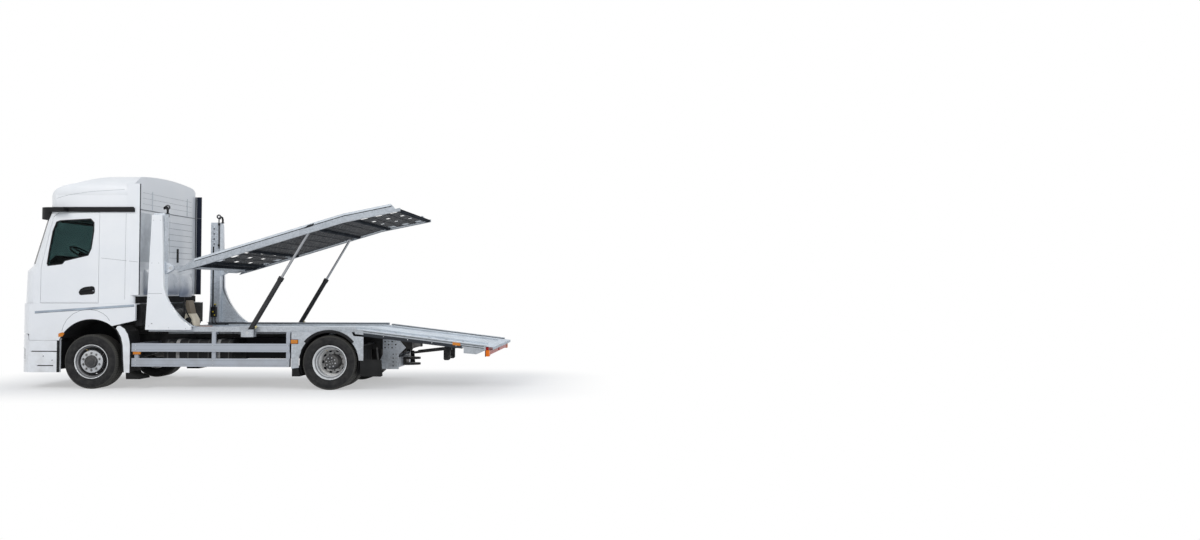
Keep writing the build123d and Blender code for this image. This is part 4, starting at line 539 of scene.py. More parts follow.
class Piece:
    """Solids of one material that ride on one body, in metres in the row frame.

    A side of 1 or -1 adds left or right to the names, and y is then given as for the left side.
    """

    def __init__(self, name, material, body="chassis", side=0):
        self.side = side or 1
        if side:
            name = f"{name}_{SIDES[side]}"
            body = f"{body}_{SIDES[side]}" if body in SIDED_BODIES else body
        self.name, self.material, self.body = name, material, body
        self.mesh = bmesh.new()

    def flip(self, point):
        x, y, z = point
        return Vector((x, self.side * y, z))

    def quads(self, rows, steps):
        """Faces between rows of vertices."""
        for near, far in zip(rows, rows[1:]):
            for i in range(steps):
                j = (i + 1) % len(near)
                self.mesh.faces.new((near[i], near[j], far[j], far[i]))

    def faces(self, rings, closed=True):
        """Skin between rings of points of equal length, which are not mirrored."""
        rows = [[self.mesh.verts.new(point) for point in ring] for ring in rings]
        self.quads(rows, len(rows[0]))
        if closed:
            self.mesh.faces.new(rows[0][::-1])
            self.mesh.faces.new(rows[-1])
        return self

    def loft(self, rings, closed=True):
        return self.faces([[(x, self.side * y, z) for x, y, z in ring] for ring in rings], closed)

    def box(self, low, high):
        (x0, y0, z0), (x1, y1, z1) = low, high
        y0, y1 = sorted((self.side * y0, self.side * y1))
        return self.faces([[(x0, y0, z), (x1, y0, z), (x1, y1, z), (x0, y1, z)] for z in (z0, z1)])

    def prism(self, outline, y0, y1):
        """Solid of an outline in x and z between two y planes."""
        return self.loft([[(x, y, z) for x, z in outline] for y in (y0, y1)])

    def sweep(self, section, places):
        """Solid of a section in y and z carried along places in x and z."""
        return self.loft([[(x, y, z + dz) for y, dz in section] for x, z in places])

    def bar(self, y0, y1, z0, z1, places):
        return self.sweep([(y0, z0), (y1, z0), (y1, z1), (y0, z1)], places)

    def ring(self, axis, big, small, low, high):
        """Solid between a big and a small outline and two places on an axis."""
        pairs = ((big, low), (big, high), (small, high), (small, low))
        loops = [[(*p[:axis], place, *p[axis:]) for p in outline] for outline, place in pairs]
        return self.loft(loops + loops[:1], False)

    def rod(self, start, end, radius, sides=16, end_radius=None):
        start, end = self.flip(start), self.flip(end)
        turn = (end - start).to_track_quat("Z", "Y")
        ends = ((start, radius), (end, end_radius or radius))
        return self.faces([
            [place + turn @ Vector((size * u, size * v, 0)) for u, v in circle(sides)] for place, size in ends
        ])

    def studs(self, places, y0, y1, radius, sides=6):
        """Rods along y at places in x and z, six-sided like a nut where no sides are given."""
        for x, z in places:
            self.rod((x, y0, z), (x, y1, z), radius, sides)
        return self

    def hexes(self, centre, across, count, radius, y0, y1, turn=NUT_TURN):
        """Ring of hexagon nuts round the y axis through a centre."""
        x, y, z = centre
        angles = [2 * math.pi * i / count + turn for i in range(count)]
        places = [(x + across * math.cos(a), z + across * math.sin(a)) for a in angles]
        return self.studs(places, y + y0, y + y1, radius)

    def wheel_nuts(self, centre, radius, y0, y1):
        return self.hexes(centre, NUT_CIRCLE, 10, radius, y0, y1)

    def spun(self, centre, profile, sides=40, closed=False):
        """Surface of revolution about the y axis through a centre, from pairs of y offset and radius."""
        x, y, z = centre
        columns = [
            [self.mesh.verts.new(self.flip((x + r * u, y + offset, z + r * v))) for offset, r in profile]
            for u, v in circle(sides)
        ]
        self.quads(columns + columns[:1], len(profile) - (not closed))
        return self

    def pipe(self, points, radius, sides=10, closed=False):
        """Round tube along points."""
        points = [self.flip(point) for point in points]
        rings, side = [], None
        for i, point in enumerate(points):
            near, far = (i - 1, (i + 1) % len(points)) if closed else (max(i - 1, 0), min(i + 1, len(points) - 1))
            ahead = (points[far] - points[near]).normalized()
            side = (side - ahead * side.dot(ahead) if side else ahead.orthogonal()).normalized()
            other = ahead.cross(side)
            rings.append([point + radius * (side * u + other * v) for u, v in circle(sides)])
        return self.faces(rings + rings[:closed], not closed)

    def disc_holes(self, centre, shift, place, slope, size, sides, lifts):
        """Ten round patches on a wheel disc; place and slope are in radius and y."""
        for index in range(10):
            a = 2 * math.pi * (index + shift) / 10 + NUT_TURN
            middle, round_way = Vector((math.cos(a), 0, math.sin(a))), Vector((-math.sin(a), 0, math.cos(a)))
            down = (middle * slope[0] + Vector((0, slope[1], 0))).normalized()
            out = (middle * -slope[1] + Vector((0, slope[0], 0))).normalized()
            at = Vector(centre) + middle * place[0] + Vector((0, place[1], 0))
            self.loft([
                [at + out * lift + round_way * size[0] * u + down * size[1] * v for u, v in circle(sides)]
                for lift in lifts
            ])
        return self

    def ribbon(self, tree, points, along, width, lift, step=0.05):
        """Flat bead of a width on the surface that rays in a direction meet from the points of a line."""
        along = Vector(along)
        line = resampled(points, step)
        runs = [[]]
        for i, point in enumerate(line):
            ahead = (line[min(i + 1, len(line) - 1)] - line[max(i - 1, 0)]).normalized()
            across = along.cross(ahead).normalized() * (width / 2)
            first, second = [tree.ray_cast(point + shift, along)[0] for shift in (across, -across)]
            if first is None or second is None:
                runs.append([])
            else:
                over, under = along * lift, along * SUNK
                runs[-1].append([first - over, second - over, second + under, first + under])
        for rings in runs:
            if len(rings) > 1:
                self.faces(rings)
        return self

    def side_line(self, points, width, lift):
        """Bead on the side of the cab along points in x and z."""
        points = [(x, FAR_SIDE * self.side, z) for x, z in points]
        return self.ribbon(cab_skin, points, (0, -self.side, 0), width, lift)

    def patch(self, y0, y1, top, low, across, down, lift, taper=0.0):
        """Thin patch on the front of the cab or bumper, narrower at the foot by the taper on each side."""
        corners = [(y0, top), (y1, top), (y1 - taper, low), (y0 + taper, low)]
        a, b, c, d = [self.flip((FAR_FRONT, y, z)) for y, z in corners]
        edges = [(a.lerp(d, i / down), b.lerp(c, i / down)) for i in range(down + 1)]
        rows = [[cab_skin.ray_cast(p.lerp(q, j / across), AHEAD)[0] for j in range(across + 1)] for p, q in edges]
        outer = [[self.mesh.verts.new(p - AHEAD * lift) for p in row] for row in rows]
        inner = [[self.mesh.verts.new(p + AHEAD * SUNK) for p in row] for row in rows]
        face = self.mesh.faces.new
        for i in range(down):
            for j in range(across):
                face((outer[i][j], outer[i][j + 1], outer[i + 1][j + 1], outer[i + 1][j]))
                face((inner[i][j], inner[i + 1][j], inner[i + 1][j + 1], inner[i][j + 1]))
        for j in range(across):
            face((outer[0][j + 1], outer[0][j], inner[0][j], inner[0][j + 1]))
            face((outer[down][j], outer[down][j + 1], inner[down][j + 1], inner[down][j]))
        for i in range(down):
            face((outer[i][0], outer[i + 1][0], inner[i + 1][0], inner[i][0]))
            face((outer[i + 1][across], outer[i][across], inner[i][across], inner[i + 1][across]))
        return self

    def done(self, bevel=0.0, smooth=40.0):
        bmesh.ops.remove_doubles(self.mesh, verts=self.mesh.verts, dist=1e-6)
        bmesh.ops.recalc_face_normals(self.mesh, faces=self.mesh.faces)
        data = bpy.data.meshes.new(self.name)
        self.mesh.to_mesh(data)
        self.mesh.free()
        data.materials.append(self.material)
        made = linked(self.name, data)
        if bevel:
            cut = made.modifiers.new("bevel", "BEVEL")
            cut.width = bevel
            cut.segments = 2
            cut.limit_method = "ANGLE"
            cut.angle_limit = math.radians(BEVEL_ANGLE)
        data.shade_smooth()
        data.set_sharp_from_angle(angle=math.radians(smooth))
        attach(made, self.body)


def surface_of(*names):
    """Search tree over the meshes of CAD nodes."""
    mesh = bmesh.new()
    for name in names:
        mesh.from_mesh(NODES[name].data)
    tree = BVHTree.FromBMesh(mesh)
    mesh.free()
    return tree


def arc_points(centre, radius, start, end, count):
    """Pairs of points on an arc, angles in degrees."""
    angles = [math.radians(start + (end - start) * i / (count - 1)) for i in range(count)]
    return [(centre[0] + radius * math.cos(a), centre[1] + radius * math.sin(a)) for a in angles]


def arc_band(centre, outer, inner, start, end, count):
    """Outline of the band between two radii."""
    return arc_points(centre, outer, start, end, count) + arc_points(centre, inner, end, start, count)


def outline_inset(points, amount):
    """Outline moved inwards by an amount, outwards where it is negative."""
    area = sum(a[0] * b[1] - b[0] * a[1] for a, b in zip(points, points[1:] + points[:1]))
    hand = 1 if area > 0 else -1
    moved = []
    for before, point, after in zip(points[-1:] + points[:-1], points, points[1:] + points[:1]):
        ways = [Vector((q[0] - p[0], q[1] - p[1])).normalized() for p, q in ((before, point), (point, after))]
        first, second = [Vector((-way.y, way.x)) * hand for way in ways]
        miter = (first + second) / max(0.35, 1 + first.dot(second))
        moved.append((point[0] + miter.x * amount, point[1] + miter.y * amount))
    return moved


def rounded(y0, y1, z0, z1, corner, grow):
    """Rounded rectangle in y and z, grown outwards."""
    y0, y1, z0, z1, corner = y0 - grow, y1 + grow, z0 - grow, z1 + grow, corner + grow
    right, left, top, low = y1 - corner, y0 + corner, z1 - corner, z0 + corner
    corners = (((right, top), 0), ((left, top), 90), ((left, low), 180), ((right, low), 270))
    return [point for middle, start in corners for point in arc_points(middle, corner, start, start + 90, 6)]


def hoop(piece, tank, x, half, thick):
    """Band round a tank."""
    piece.ring(0, rounded(*tank, thick), rounded(*tank, 0.0005), x - half, x + half)


def deck_at(back, lift):
    """Point in x and z on the upper deck beam, from the distance behind the pivot and the lift."""
    rise = (min(back, DECK_BREAK) - DECK_START) * DECK_SLOPE + max(back - DECK_BREAK, 0) * DECK_END_SLOPE
    return (PIVOT[0] - back, PIVOT[1] + 0.035 + rise + lift)


def deck_line(lift, *backs):
    return [deck_at(back, lift) for back in backs]


def rear_at(x, below):
    """Height on the rear deck at a depth under the top of its beams."""
    return REAR_TOP - (REAR_HINGE - x) * REAR_SLOPE - below


def rear_line(*xs):
    return [(x, rear_at(x, 0)) for x in xs]


cab_skin = surface_of("cab_shell", "cab_roof", "wheel_skirts", "front_bumper", "grille_panel", "windscreen")
DOOR_WINDOW = [
    (3.5, 2.925), (3.435, 2.95), (2.89, 2.98), (2.83, 2.915), (2.83, 2.765), (2.87, 2.457), (2.925, 2.335),
    (3.341, 2.236), (3.386, 2.181), (3.645, 2.15), (3.66, 2.19), (3.625, 2.424), (3.565, 2.764),
]
HANDLE = [
    (3.083, 1.69), (3.072, 1.652), (3.045, 1.636), (2.83, 1.652), (2.801, 1.668), (2.793, 1.7), (2.797, 1.752),
    (2.812, 1.782), (2.845, 1.795), (2.955, 1.783), (3.01, 1.768), (3.06, 1.735),
]
ARCH_FLARE = [
    (3.316, 1.01), (3.285, 1.11), (3.225, 1.215), (3.12, 1.31), (2.99, 1.368), (2.84, 1.388),
    (2.7, 1.368), (2.59, 1.318), (2.52, 1.262), (2.47, 1.19),
]
MUDGUARD = [
    (2.108, 0.288), (2.205, 0.288), (2.222, 0.56), (2.232, 0.76), (2.262, 0.9), (2.318, 1.005), (2.356, 1.06),
    (2.33, 1.098), (2.286, 1.106), (2.205, 1.05), (2.15, 0.96), (2.118, 0.84), (2.108, 0.76),
]
MUDGUARD_EDGE = [
    (2.205, 0.288), (2.232, 0.3), (2.25, 0.56), (2.262, 0.76), (2.29, 0.89), (2.345, 1.0), (2.318, 1.005),
    (2.262, 0.9), (2.232, 0.76), (2.222, 0.56),
]

# Cab sides: seams, the skirt's groove in painted shade and a line of painted shadow under it, seals, handles, deflector
# linings, arch liners, guards and flaps
for s in SIDES:
    seams = Piece("cab_seams", SEAM, "cab", s)
    seams.side_line([(2.69, 2.289), (2.045, 2.22)], 0.005, 0.0008)
    seams.side_line([(2.045, 3.08), (2.25, 3.08)], 0.001, 0.0003)
    seams.side_line([(2.262, 3.075), (2.262, 1.56)], 0.004, 0.0006)
    seams.side_line([(3.56, 3.33), (3.3, 3.405), (2.9, 3.462), (2.3, 3.5)], 0.004, 0.0006)
    seams.side_line(ARCH_FLARE, 0.006, 0.0012).done()
    # painted shade: a blue grey band in the skirt's groove
    Piece("skirt_groove", GROOVE_SHADE, "cab", s).side_line([(3.8, 1.336), (2.04, 1.458)], 0.04, 0.0012).done()
    Piece("skirt_shadow", BLACK, "cab", s).side_line([(3.8, 1.317), (2.04, 1.439)], 0.005, 0.0016).done()
    seal = Piece("door_seal", BLACK, "door", s)
    seal.ring(1, outline_inset(DOOR_WINDOW, -0.004), outline_inset(DOOR_WINDOW, 0.016), 1.1245, 1.1512)
    seal.box((2.836, 1.1175, 2.9), (2.85, 1.1285, 2.905)).done(0.0015)
    handle = Piece("door_handle", BLACK, "door", s).prism(HANDLE, 1.1485, 1.1525)
    handle.prism(outline_inset(HANDLE, 0.011), 1.152, 1.154).done(0.001)
    grip = [(3.06, 1.155, 1.7), (3.03, 1.172, 1.706), (2.86, 1.172, 1.742), (2.815, 1.155, 1.748)]
    Piece("door_grip", GLOSS_BLACK, "door", s).pipe(grip, 0.011).done()
    lock = [(0, 0.01), (0.006, 0.01), (0.0065, 0.008), (0.0065, 0)]
    Piece("door_lock", CHROME, "door", s).spun((2.822, 1.15, 1.712), lock, 20).done()
    lining = Piece("deflector_lining", DEEP_BLUE, "cab", s)
    for z0, z1 in ((1.642, 3.168), (3.172, 3.598)):
        lining.box((2.0245, 1.1085, z0), (2.108, 1.1165, z1)).box((2.0205, 1.1085, z0), (2.0255, 1.1365, z1))
    lining.done(0.001)
    arch = Piece("arch_liner", LINER, "cab", s).prism(arc_band(CAB_ARCH, 0.6115, 0.6035, 28, 152, 26), 0.63, 1.238)
    arch.prism(arc_points(CAB_ARCH, 0.604, 28, 152, 26) + [(2.4, 0.7), (3.19, 0.7)], 0.622, 0.63).done()
    lip = arc_band(CAB_ARCH, 0.619, 0.611, 24, 148, 30)
    Piece("arch_lip", BLACK, "cab", s).prism(lip, 1.235, 1.244).done(0.002)
    Piece("step_well", LINER, side=s).box((3.442, 0.7, 0.33), (3.45, 1.188, 0.835)).done()
    marker = [(3.372, 0.905), (3.372, 0.965), (3.3, 0.99), (3.268, 0.965), (3.3, 0.915)]
    Piece("arch_marker", AMBER, "cab", s).prism(marker, 1.2385, 1.2475).done(0.002)
    Piece("mudguard_panel", WHITE, side=s).prism(MUDGUARD, 1.23, 1.245).done(0.003)
    Piece("mudguard_edge", BLACK, side=s).prism(MUDGUARD_EDGE, 0.9, 1.24).done()
    flap = [(2.18, 0.31), (2.11, 0.31), (2.06, 0.262), (1.935, 0.214), (1.926, 0.176), (2.172, 0.176)]
    Piece("front_flap", RUBBER, side=s).prism(flap, 0.905, 1.235).done(0.003)
    Piece("roof_strip", BLACK, "cab", s).box((2.12, 1.149, 3.099), (3.58, 1.164, 3.188)).done(0.003)
    # painted shade: a black strip at the bumper's rear edge, a black line under its step, a black slot and two black
    # holes
    edge = Piece("bumper_edge_shade", BLACK, side=s)
    edge.box((3.352, 1.235, 0.292), (3.398, 1.243, 0.842)).box((3.39, 1.2262, 0.647), (3.855, 1.2275, 0.663))
    edge.box((3.465, 1.211, 0.399), (3.747, 1.226, 0.415))
    edge.studs([(3.639, 0.572), (3.481, 0.5)], 1.205, 1.236, 0.0098, 16).done(0.001)
    # painted shade: a black duct fills the dark space under the deck, between frame and guard
    duct = Piece("cable_duct", LINER, side=s).box((-0.62, 0.5, 0.5), (0.32, 0.64, 0.88))
    for x in (-0.48, -0.16, 0.16):
        duct.box((x, 0.43, 0.7), (x + 0.04, 0.505, 0.76))
    duct.done(0.01)

# Behind the cab: black side boxes, painted shade along the rear wall's fold and pressed lines and over its bright ribs,
# its vent and bulges, the bulges shaded at their lower edge, air filter, pipes and winch
for s in SIDES:
    side_box = Piece("cab_rear_box", BLACK, side=s).box((1.968, 0.78, 1.1), (2.085, 1.12, 1.48))
    for z in (1.15, 1.23, 1.31, 1.39):
        side_box.box((1.964, 0.8, z), (1.969, 1.1, z + 0.028))
    side_box.done(0.012)
# painted shade: grey lines along the wall's fold edges, and a grey plate over its bright ribs near the left side
fold_shade = Piece("rear_wall_fold_shade", WHITE_PAINTED_SHADE, "cab")
for y in (-0.06, 0.96):
    fold_shade.box((2.104, y - 0.004, 1.7), (2.1105, y + 0.004, 3.12))
for y in (-0.72, 0.56):
    fold_shade.box((2.0975, y, 3.18), (2.1108, y + 0.012, 3.52))
fold_shade.box((2.096, 0.62, 2.24), (2.1108, 1.12, 3.11)).box((2.106, -1, 3.166), (2.1105, 1, 3.174)).done(0.002)
# painted shade in the wall's pressed lines and under its fold
crease_shade = Piece("rear_wall_crease_shade", SEAM, "cab")
for row in range(7):
    z = 2.332 + 0.112 * row
    crease_shade.box((2.107, -0.93, z), (2.1105, 0.15, z + 0.005))
for z in (3.27, 3.37, 3.47):
    crease_shade.box((2.107, -0.88, z), (2.1105, 0.88, z + 0.003))
crease_shade.box((2.098, -1.06, 3.156), (2.1108, 1.06, 3.165)).done()
vent = Piece("rear_wall_vent", BLACK, "cab").box((2.101, -0.395, 2.255), (2.111, -0.33, 2.52))
for step in range(6):
    vent.box((2.098, -0.388, 2.275 + 0.04 * step), (2.1015, -0.337, 2.287 + 0.04 * step))
vent.done(0.003)
WALL = 2.112
BULGE = [(WALL, 1.64), (2.085, 1.65), (2.064, 1.68), (2.052, 1.74), (2.052, 1.86), (2.062, 2), (WALL, 2.1)]
BULGE_ENDS = [(0, 1), (0.012, 0.5), (0.04, 0.12), (0.08, 0)]
for name, y0, y1, drop in (("near", -0.4, 0.82, 0), ("far", -0.92, -0.43, 0.05)):
    ends = [(y0 + way, k) for way, k in BULGE_ENDS] + [(y1 - way, k) for way, k in reversed(BULGE_ENDS)]
    bulge = Piece(f"rear_wall_bulge_{name}", WALL_FOLD, "cab")
    bulge.loft([[(x + (WALL - x) * k, y, z - drop) for x, z in BULGE] for y, k in ends]).done(0.004)
Piece("rear_wall_sill", LINER, "cab").box((2.1, -1.08, 1.495), (2.1108, 1.08, 1.615)).done(0.003)
intake = Piece("air_filter_housing", BLACK).rod((1.94, -0.25, 1.25), (1.94, 0.28, 1.25), 0.135, 36)
for y in (-0.2, -0.02, 0.16):
    intake.rod((1.94, y, 1.25), (1.94, y + 0.022, 1.25), 0.141, 36)
intake.box((1.9, -0.15, 0.93), (1.98, -0.09, 1.13)).box((1.9, 0.11, 0.93), (1.98, 0.17, 1.13)).done(0.004)
pipes = Piece("brake_pipes", PIPE)
unions = Piece("pipe_unions", BRASS)
for y, high in ((0.34, 1.42), (0.4, 1.38), (0.46, 1.44), (0.52, 1.4)):
    pipes.pipe([
        (2, y, 0.93), (2, y, high - 0.06), (1.985, y, high), (1.94, y, high + 0.02),
        (1.895, y, high), (1.88, y, high - 0.06), (1.88, y, 1.04),
    ], 0.009)
    unions.rod((1.88, y, 1.042), (1.88, y, 1.09), 0.014, 6).rod((2, y, 1.19), (2, y, 1.22), 0.014, 6)
pipes.box((1.88, 0.3, 1.18), (2.01, 0.56, 1.196)).done()
unions.done()
body = [(1.33, 1.062), (1.52, 1.062), (1.52, 1.19), (1.5, 1.3), (1.4, 1.3), (1.345, 1.2)]
Piece("deck_winch", CREAM).prism(body, 0.28, 0.52).done(0.012)
cover = [(1.4, 1.3), (1.505, 1.3), (1.515, 1.42), (1.505, 1.54), (1.455, 1.54), (1.425, 1.42)]
Piece("deck_winch_top", WINCH_TOP).prism(cover, 0.3, 0.5).done(0.01)
foot = Piece("deck_winch_foot", FRAME_BLACK).box((1.3, 0.12, 1.041), (1.55, 0.55, 1.063))
foot.rod((1.43, 0.518, 1.18), (1.43, 0.56, 1.18), 0.05, 24).rod((1.43, 0.18, 1.15), (1.43, 0.282, 1.15), 0.06, 28)
foot.pipe([
    (1.52, 0.53, 1.59), (1.5, 0.545, 1.45), (1.46, 0.545, 1.32), (1.41, 0.54, 1.23), (1.37, 0.54, 1.12),
    (1.34, 0.53, 1.063),
], 0.011)
foot.pipe([(1.56, 0.42, 1.062), (1.57, 0.42, 1.3), (1.56, 0.44, 1.48), (1.53, 0.5, 1.585)], 0.01).done(0.002)
bundle = Piece("strap_bundle", BROWN)
for shift in (0, 0.052, 0.104):
    bundle.pipe([(1.13 + shift, 0.25, 1.056), (1.15 + shift, 0.42, 1.062), (1.12 + shift, 0.56, 1.056)], 0.015, 8)
bundle.box((1.12, 0.38, 1.0415), (1.27, 0.42, 1.076)).done(0.002)


def before_screen(places, gap):
    """Points a gap in front of the cab's skin, from places in y and z."""
    hits = [cab_skin.ray_cast(Vector((FAR_FRONT, y, z)), AHEAD)[0] for y, z in places]
    return [hit + Vector((gap, 0, 0)) for hit in hits if hit]


# Cab front: windscreen seal, wipers, grille mesh and bars, lower intake, a blank plate and the lamps
corners = [(FAR_FRONT, y, z) for y, z in ((-1.03, 2.175), (1.03, 2.175), (0.96, 2.99), (-0.96, 2.99), (-1.03, 2.175))]
Piece("windscreen_seal", BLACK, "cab").ribbon(cab_skin, corners, AHEAD, 0.05, 0.002, 0.06).done()
Piece("grille_mesh", GRILLE_MESH, "cab").box((3.994, -0.76, 1.02), (4.004, 0.76, 1.38)).done(0.001)
bars = Piece("grille_bars", SILVER, "cab")
for z in (1.04, 1.13, 1.22, 1.31):
    bars.patch(-0.74, 0.74, z + 0.056, z + 0.05, 32, 1, 0.002)
bars.done()
Piece("bumper_intake", GRILLE_MESH).patch(-0.62, 0.62, 0.47, 0.35, 24, 4, 0.002, 0.04).done()
Piece("front_plate_blank", PLATE).patch(-0.26, 0.26, 0.64, 0.53, 26, 6, 0.004).done(0.001)
wipers = Piece("wipers", BLACK, "cab")
for y0, y1 in ((-0.9, -0.08), (-0.06, 0.78)):
    blade = [(p.y, p.z) for p in resampled([(FAR_FRONT, y0, 2.215), (FAR_FRONT, y1, 2.29)], 0.06)]
    wipers.pipe(before_screen(blade, 0.014), 0.009, 8)
    reach = (y0 + y1) / 2 - y1 - 0.05
    arm = [(y1 + 0.05 + t * reach, 2.15 + t * 0.112) for t in (0, 0.25, 0.5, 0.75, 1)]
    wipers.pipe(before_screen(arm, 0.024), 0.007, 8)
wipers.done()
lamp_skin = surface_of("front_bumper", "front_lamps")
Piece("bumper_undertray", LINER).box((3.8, -1, 0.59), (4.13, 1, 0.6)).done()
for s in SIDES:
    Piece("headlamp_bowl", CHROME, side=s).patch(0.8, 1.15, 0.72, 0.708, 12, 1, 0.003).done()
    cells = Piece("headlamp_cells", GLOSS_BLACK, side=s)
    rings = Piece("headlamp_rings", CHROME, side=s)
    turn = circle(36)
    for y in (0.862, 0.974):
        parts = ((cells, 0.026, 0.051, 0.0015), (rings, 0.046, 0.009, 0.003), (rings, 0.01, 0.019, 0.003))
        for piece, radius, width, lift in parts:
            path = [(FAR_FRONT, s * y + radius * u, LAMP_Z + radius * v) for u, v in turn + turn[:1]]
            piece.ribbon(lamp_skin, path, AHEAD, width, lift, 0.011)
    cells.done()
    rings.done()
    Piece("fog_lamp", CLEAR, side=s).patch(0.72, 0.9, 0.44, 0.37, 6, 3, 0.004).done(0.001)

# Wheels: nuts, hubs, discs, valves and brake drums
FRONT_WHEEL = (FRONT_AXLE, WHEEL_Y, TYRE_RADIUS)
REAR_WHEEL = (REAR_AXLE, WHEEL_Y, TYRE_RADIUS)
VALVE_ANGLE = 1.15
FRONT_CAP = [
    (0.112, 0.112), (0.125, 0.1085), (0.149, 0.1045), (0.1545, 0.098), (0.156, 0.08), (0.153, 0.074), (0.153, 0),
]
REAR_CAP = [
    (-0.15, 0.134), (-0.13, 0.132), (0.03, 0.129), (0.043, 0.125), (0.052, 0.112), (0.0565, 0.096),
    (0.0565, 0.062), (0.0525, 0.056), (0.0525, 0),
]
REAR_DISC = [
    (-0.15, 0.116), (-0.146, 0.165), (-0.136, 0.18), (-0.112, 0.194), (-0.082, 0.206), (-0.06, 0.217),
    (-0.042, 0.232), (-0.03, 0.243),
]
for s in SIDES:
    nuts = Piece("front_nuts", NUT, "wheel_front", s).wheel_nuts(FRONT_WHEEL, 0.0155, 0.108, 0.136)
    nuts.wheel_nuts(FRONT_WHEEL, 0.0085, 0.136, 0.148).done(0.001, 30)
    washer = [(0.1115, 0.191), (0.116, 0.189), (0.116, 0.115), (0.1115, 0.113)]
    Piece("front_washers", SILVER, "wheel_front", s).spun(FRONT_WHEEL, washer, 48, True).done()
    seats = Piece("front_nut_rings", HUB, "wheel_front", s)
    seats.wheel_nuts(FRONT_WHEEL, 0.0215, 0.1155, 0.1172).done(0, 30)
    # painted shade: dark patches where the disc's holes are
    holes = Piece("front_disc_holes", DARK_SHADE, "wheel_front", s)
    holes.disc_holes(FRONT_WHEEL, 0, (0.212, 0.0835), (0.055, -0.072), (0.019, 0.019), 18, (-0.001, 0.002)).done()
    hub = Piece("front_hub", HUB, "wheel_front", s).spun(FRONT_WHEEL, FRONT_CAP, 48)
    hub.hexes(FRONT_WHEEL, 0.088, 8, 0.007, 0.153, 0.16, 0.2)
    hub.spun(FRONT_WHEEL, [(0.1525, 0.066), (0.1575, 0.062), (0.1575, 0)]).done(0, 35)
    nuts = Piece("rear_nuts", NUT, "wheel_rear", s).wheel_nuts(REAR_WHEEL, 0.0155, -0.162, -0.13)
    nuts.wheel_nuts(REAR_WHEEL, 0.0085, -0.13, -0.116).done(0.001, 30)
    Piece("rear_hub", HUB, "wheel_rear", s).spun(REAR_WHEEL, REAR_CAP, 48).done(0, 35)
    bolts = Piece("rear_hub_bolts", ZINC, "wheel_rear", s).hexes(REAR_WHEEL, 0.08, 8, 0.0105, 0.056, 0.068, 0.2)
    bolts.hexes(REAR_WHEEL, 0.03, 4, 0.006, 0.052, 0.058, 0.5).done(0, 30)
    disc = REAR_DISC + [(y - 0.005, r - 0.002) for y, r in reversed(REAR_DISC)]
    Piece("rear_disc", DISC, "wheel_rear", s).spun(REAR_WHEEL, disc, 60, True).done(0, 50)
    # painted shade: dark patches where the disc's holes are
    holes = Piece("rear_disc_holes", DARK_SHADE, "wheel_rear", s)
    holes.disc_holes(REAR_WHEEL, 0.5, (0.193, -0.109), (0.026, 0.054), (0.026, 0.027), 20, (-0.002, 0.005)).done()
    for axle, row, depth in ((FRONT_AXLE, "front", 0.06), (REAR_AXLE, "rear", -0.02)):
        start, end = [
            (axle + r * math.cos(VALVE_ANGLE), WHEEL_Y + depth + out, TYRE_RADIUS + r * math.sin(VALVE_ANGLE))
            for r, out in ((0.205, 0), (0.232, 0.055))
        ]
        Piece(f"{row}_valve", BRASS, f"wheel_{row}", s).rod(start, end, 0.005, 10).done()
    drum = [(-0.03, 0.1), (-0.03, 0.19), (0.005, 0.2), (0.005, 0.09)]
    Piece("brake_drum", CAST, side=s).spun((REAR_AXLE, 0.53, TYRE_RADIUS), drum, closed=True).done()

# Side guards and tanks
for s in SIDES:
    lamps = Piece("guard_markers", AMBER, side=s).box((1.935, 1.184, 0.604), (2.07, 1.213, 0.654))
    lamps.box((-0.848, BEAM_FACE, 0.806), (-0.726, 1.262, 0.872)).done(0.006)
    housings = Piece("marker_housings", BLACK, side=s).box((1.928, 1.183, 0.6), (2.078, 1.19, 0.6555))
    housings.box((-0.856, 1.249, 0.799), (-0.718, 1.2525, 0.879)).done(0.002)
    caps = Piece("guard_caps", BLACK, side=s)
    for z0, z1 in GUARD_BEAMS:
        caps.box((2.089, 1.184, z0 - 0.001), (2.098, 1.216, z1 + 0.001))
    caps.done(0.003)
    places = [(x, z) for x in (2.02, 0.655, -0.655) for z0, z1 in GUARD_BEAMS for z in (z0 + 0.035, z1 - 0.035)]
    Piece("guard_bolts", ZINC, side=s).studs(places, 1.2145, 1.221, 0.01).done(0, 30)
    # painted shade: darker lines in the guard beams' grooves
    lines = Piece("guard_grooves", ALU_PAINTED_SHADE, side=s)
    for z in (0.685, 0.765, 0.425, 0.505):
        lines.box((-0.688, 1.214, z), (2.088, 1.2156, z + 0.005))
    lines.done()
straps = Piece("tank_straps", NUT)
for x in (0.6, 1.32):
    hoop(straps, FUEL_TANK, x, 0.03, 0.006)
    straps.rod((x, 1.127, 0.61), (x, 1.127, 0.69), 0.01, 8)
for x in (0.18, 0.84):
    hoop(straps, AIR_TANK, x, 0.025, 0.006)
straps.done(0.001)
shell = Piece("fuel_tank_shell", TANK)
for x in (0.42, 0.78, 0.96, 1.14, 1.5):
    hoop(shell, FUEL_TANK, x, 0.012, 0.004)
shell.rod((1.43, 1.118, 0.77), (1.43, 1.145, 0.784), 0.048, 28).done(0.001)
lid = Piece("battery_box_lid", BLACK).box((1.17, -1.124, 0.66), (1.8, -1.119, 0.668))
for x in (1.3, 1.67):
    lid.box((x, -1.134, 0.64), (x + 0.04, -1.119, 0.7))
lid.done(0.002)

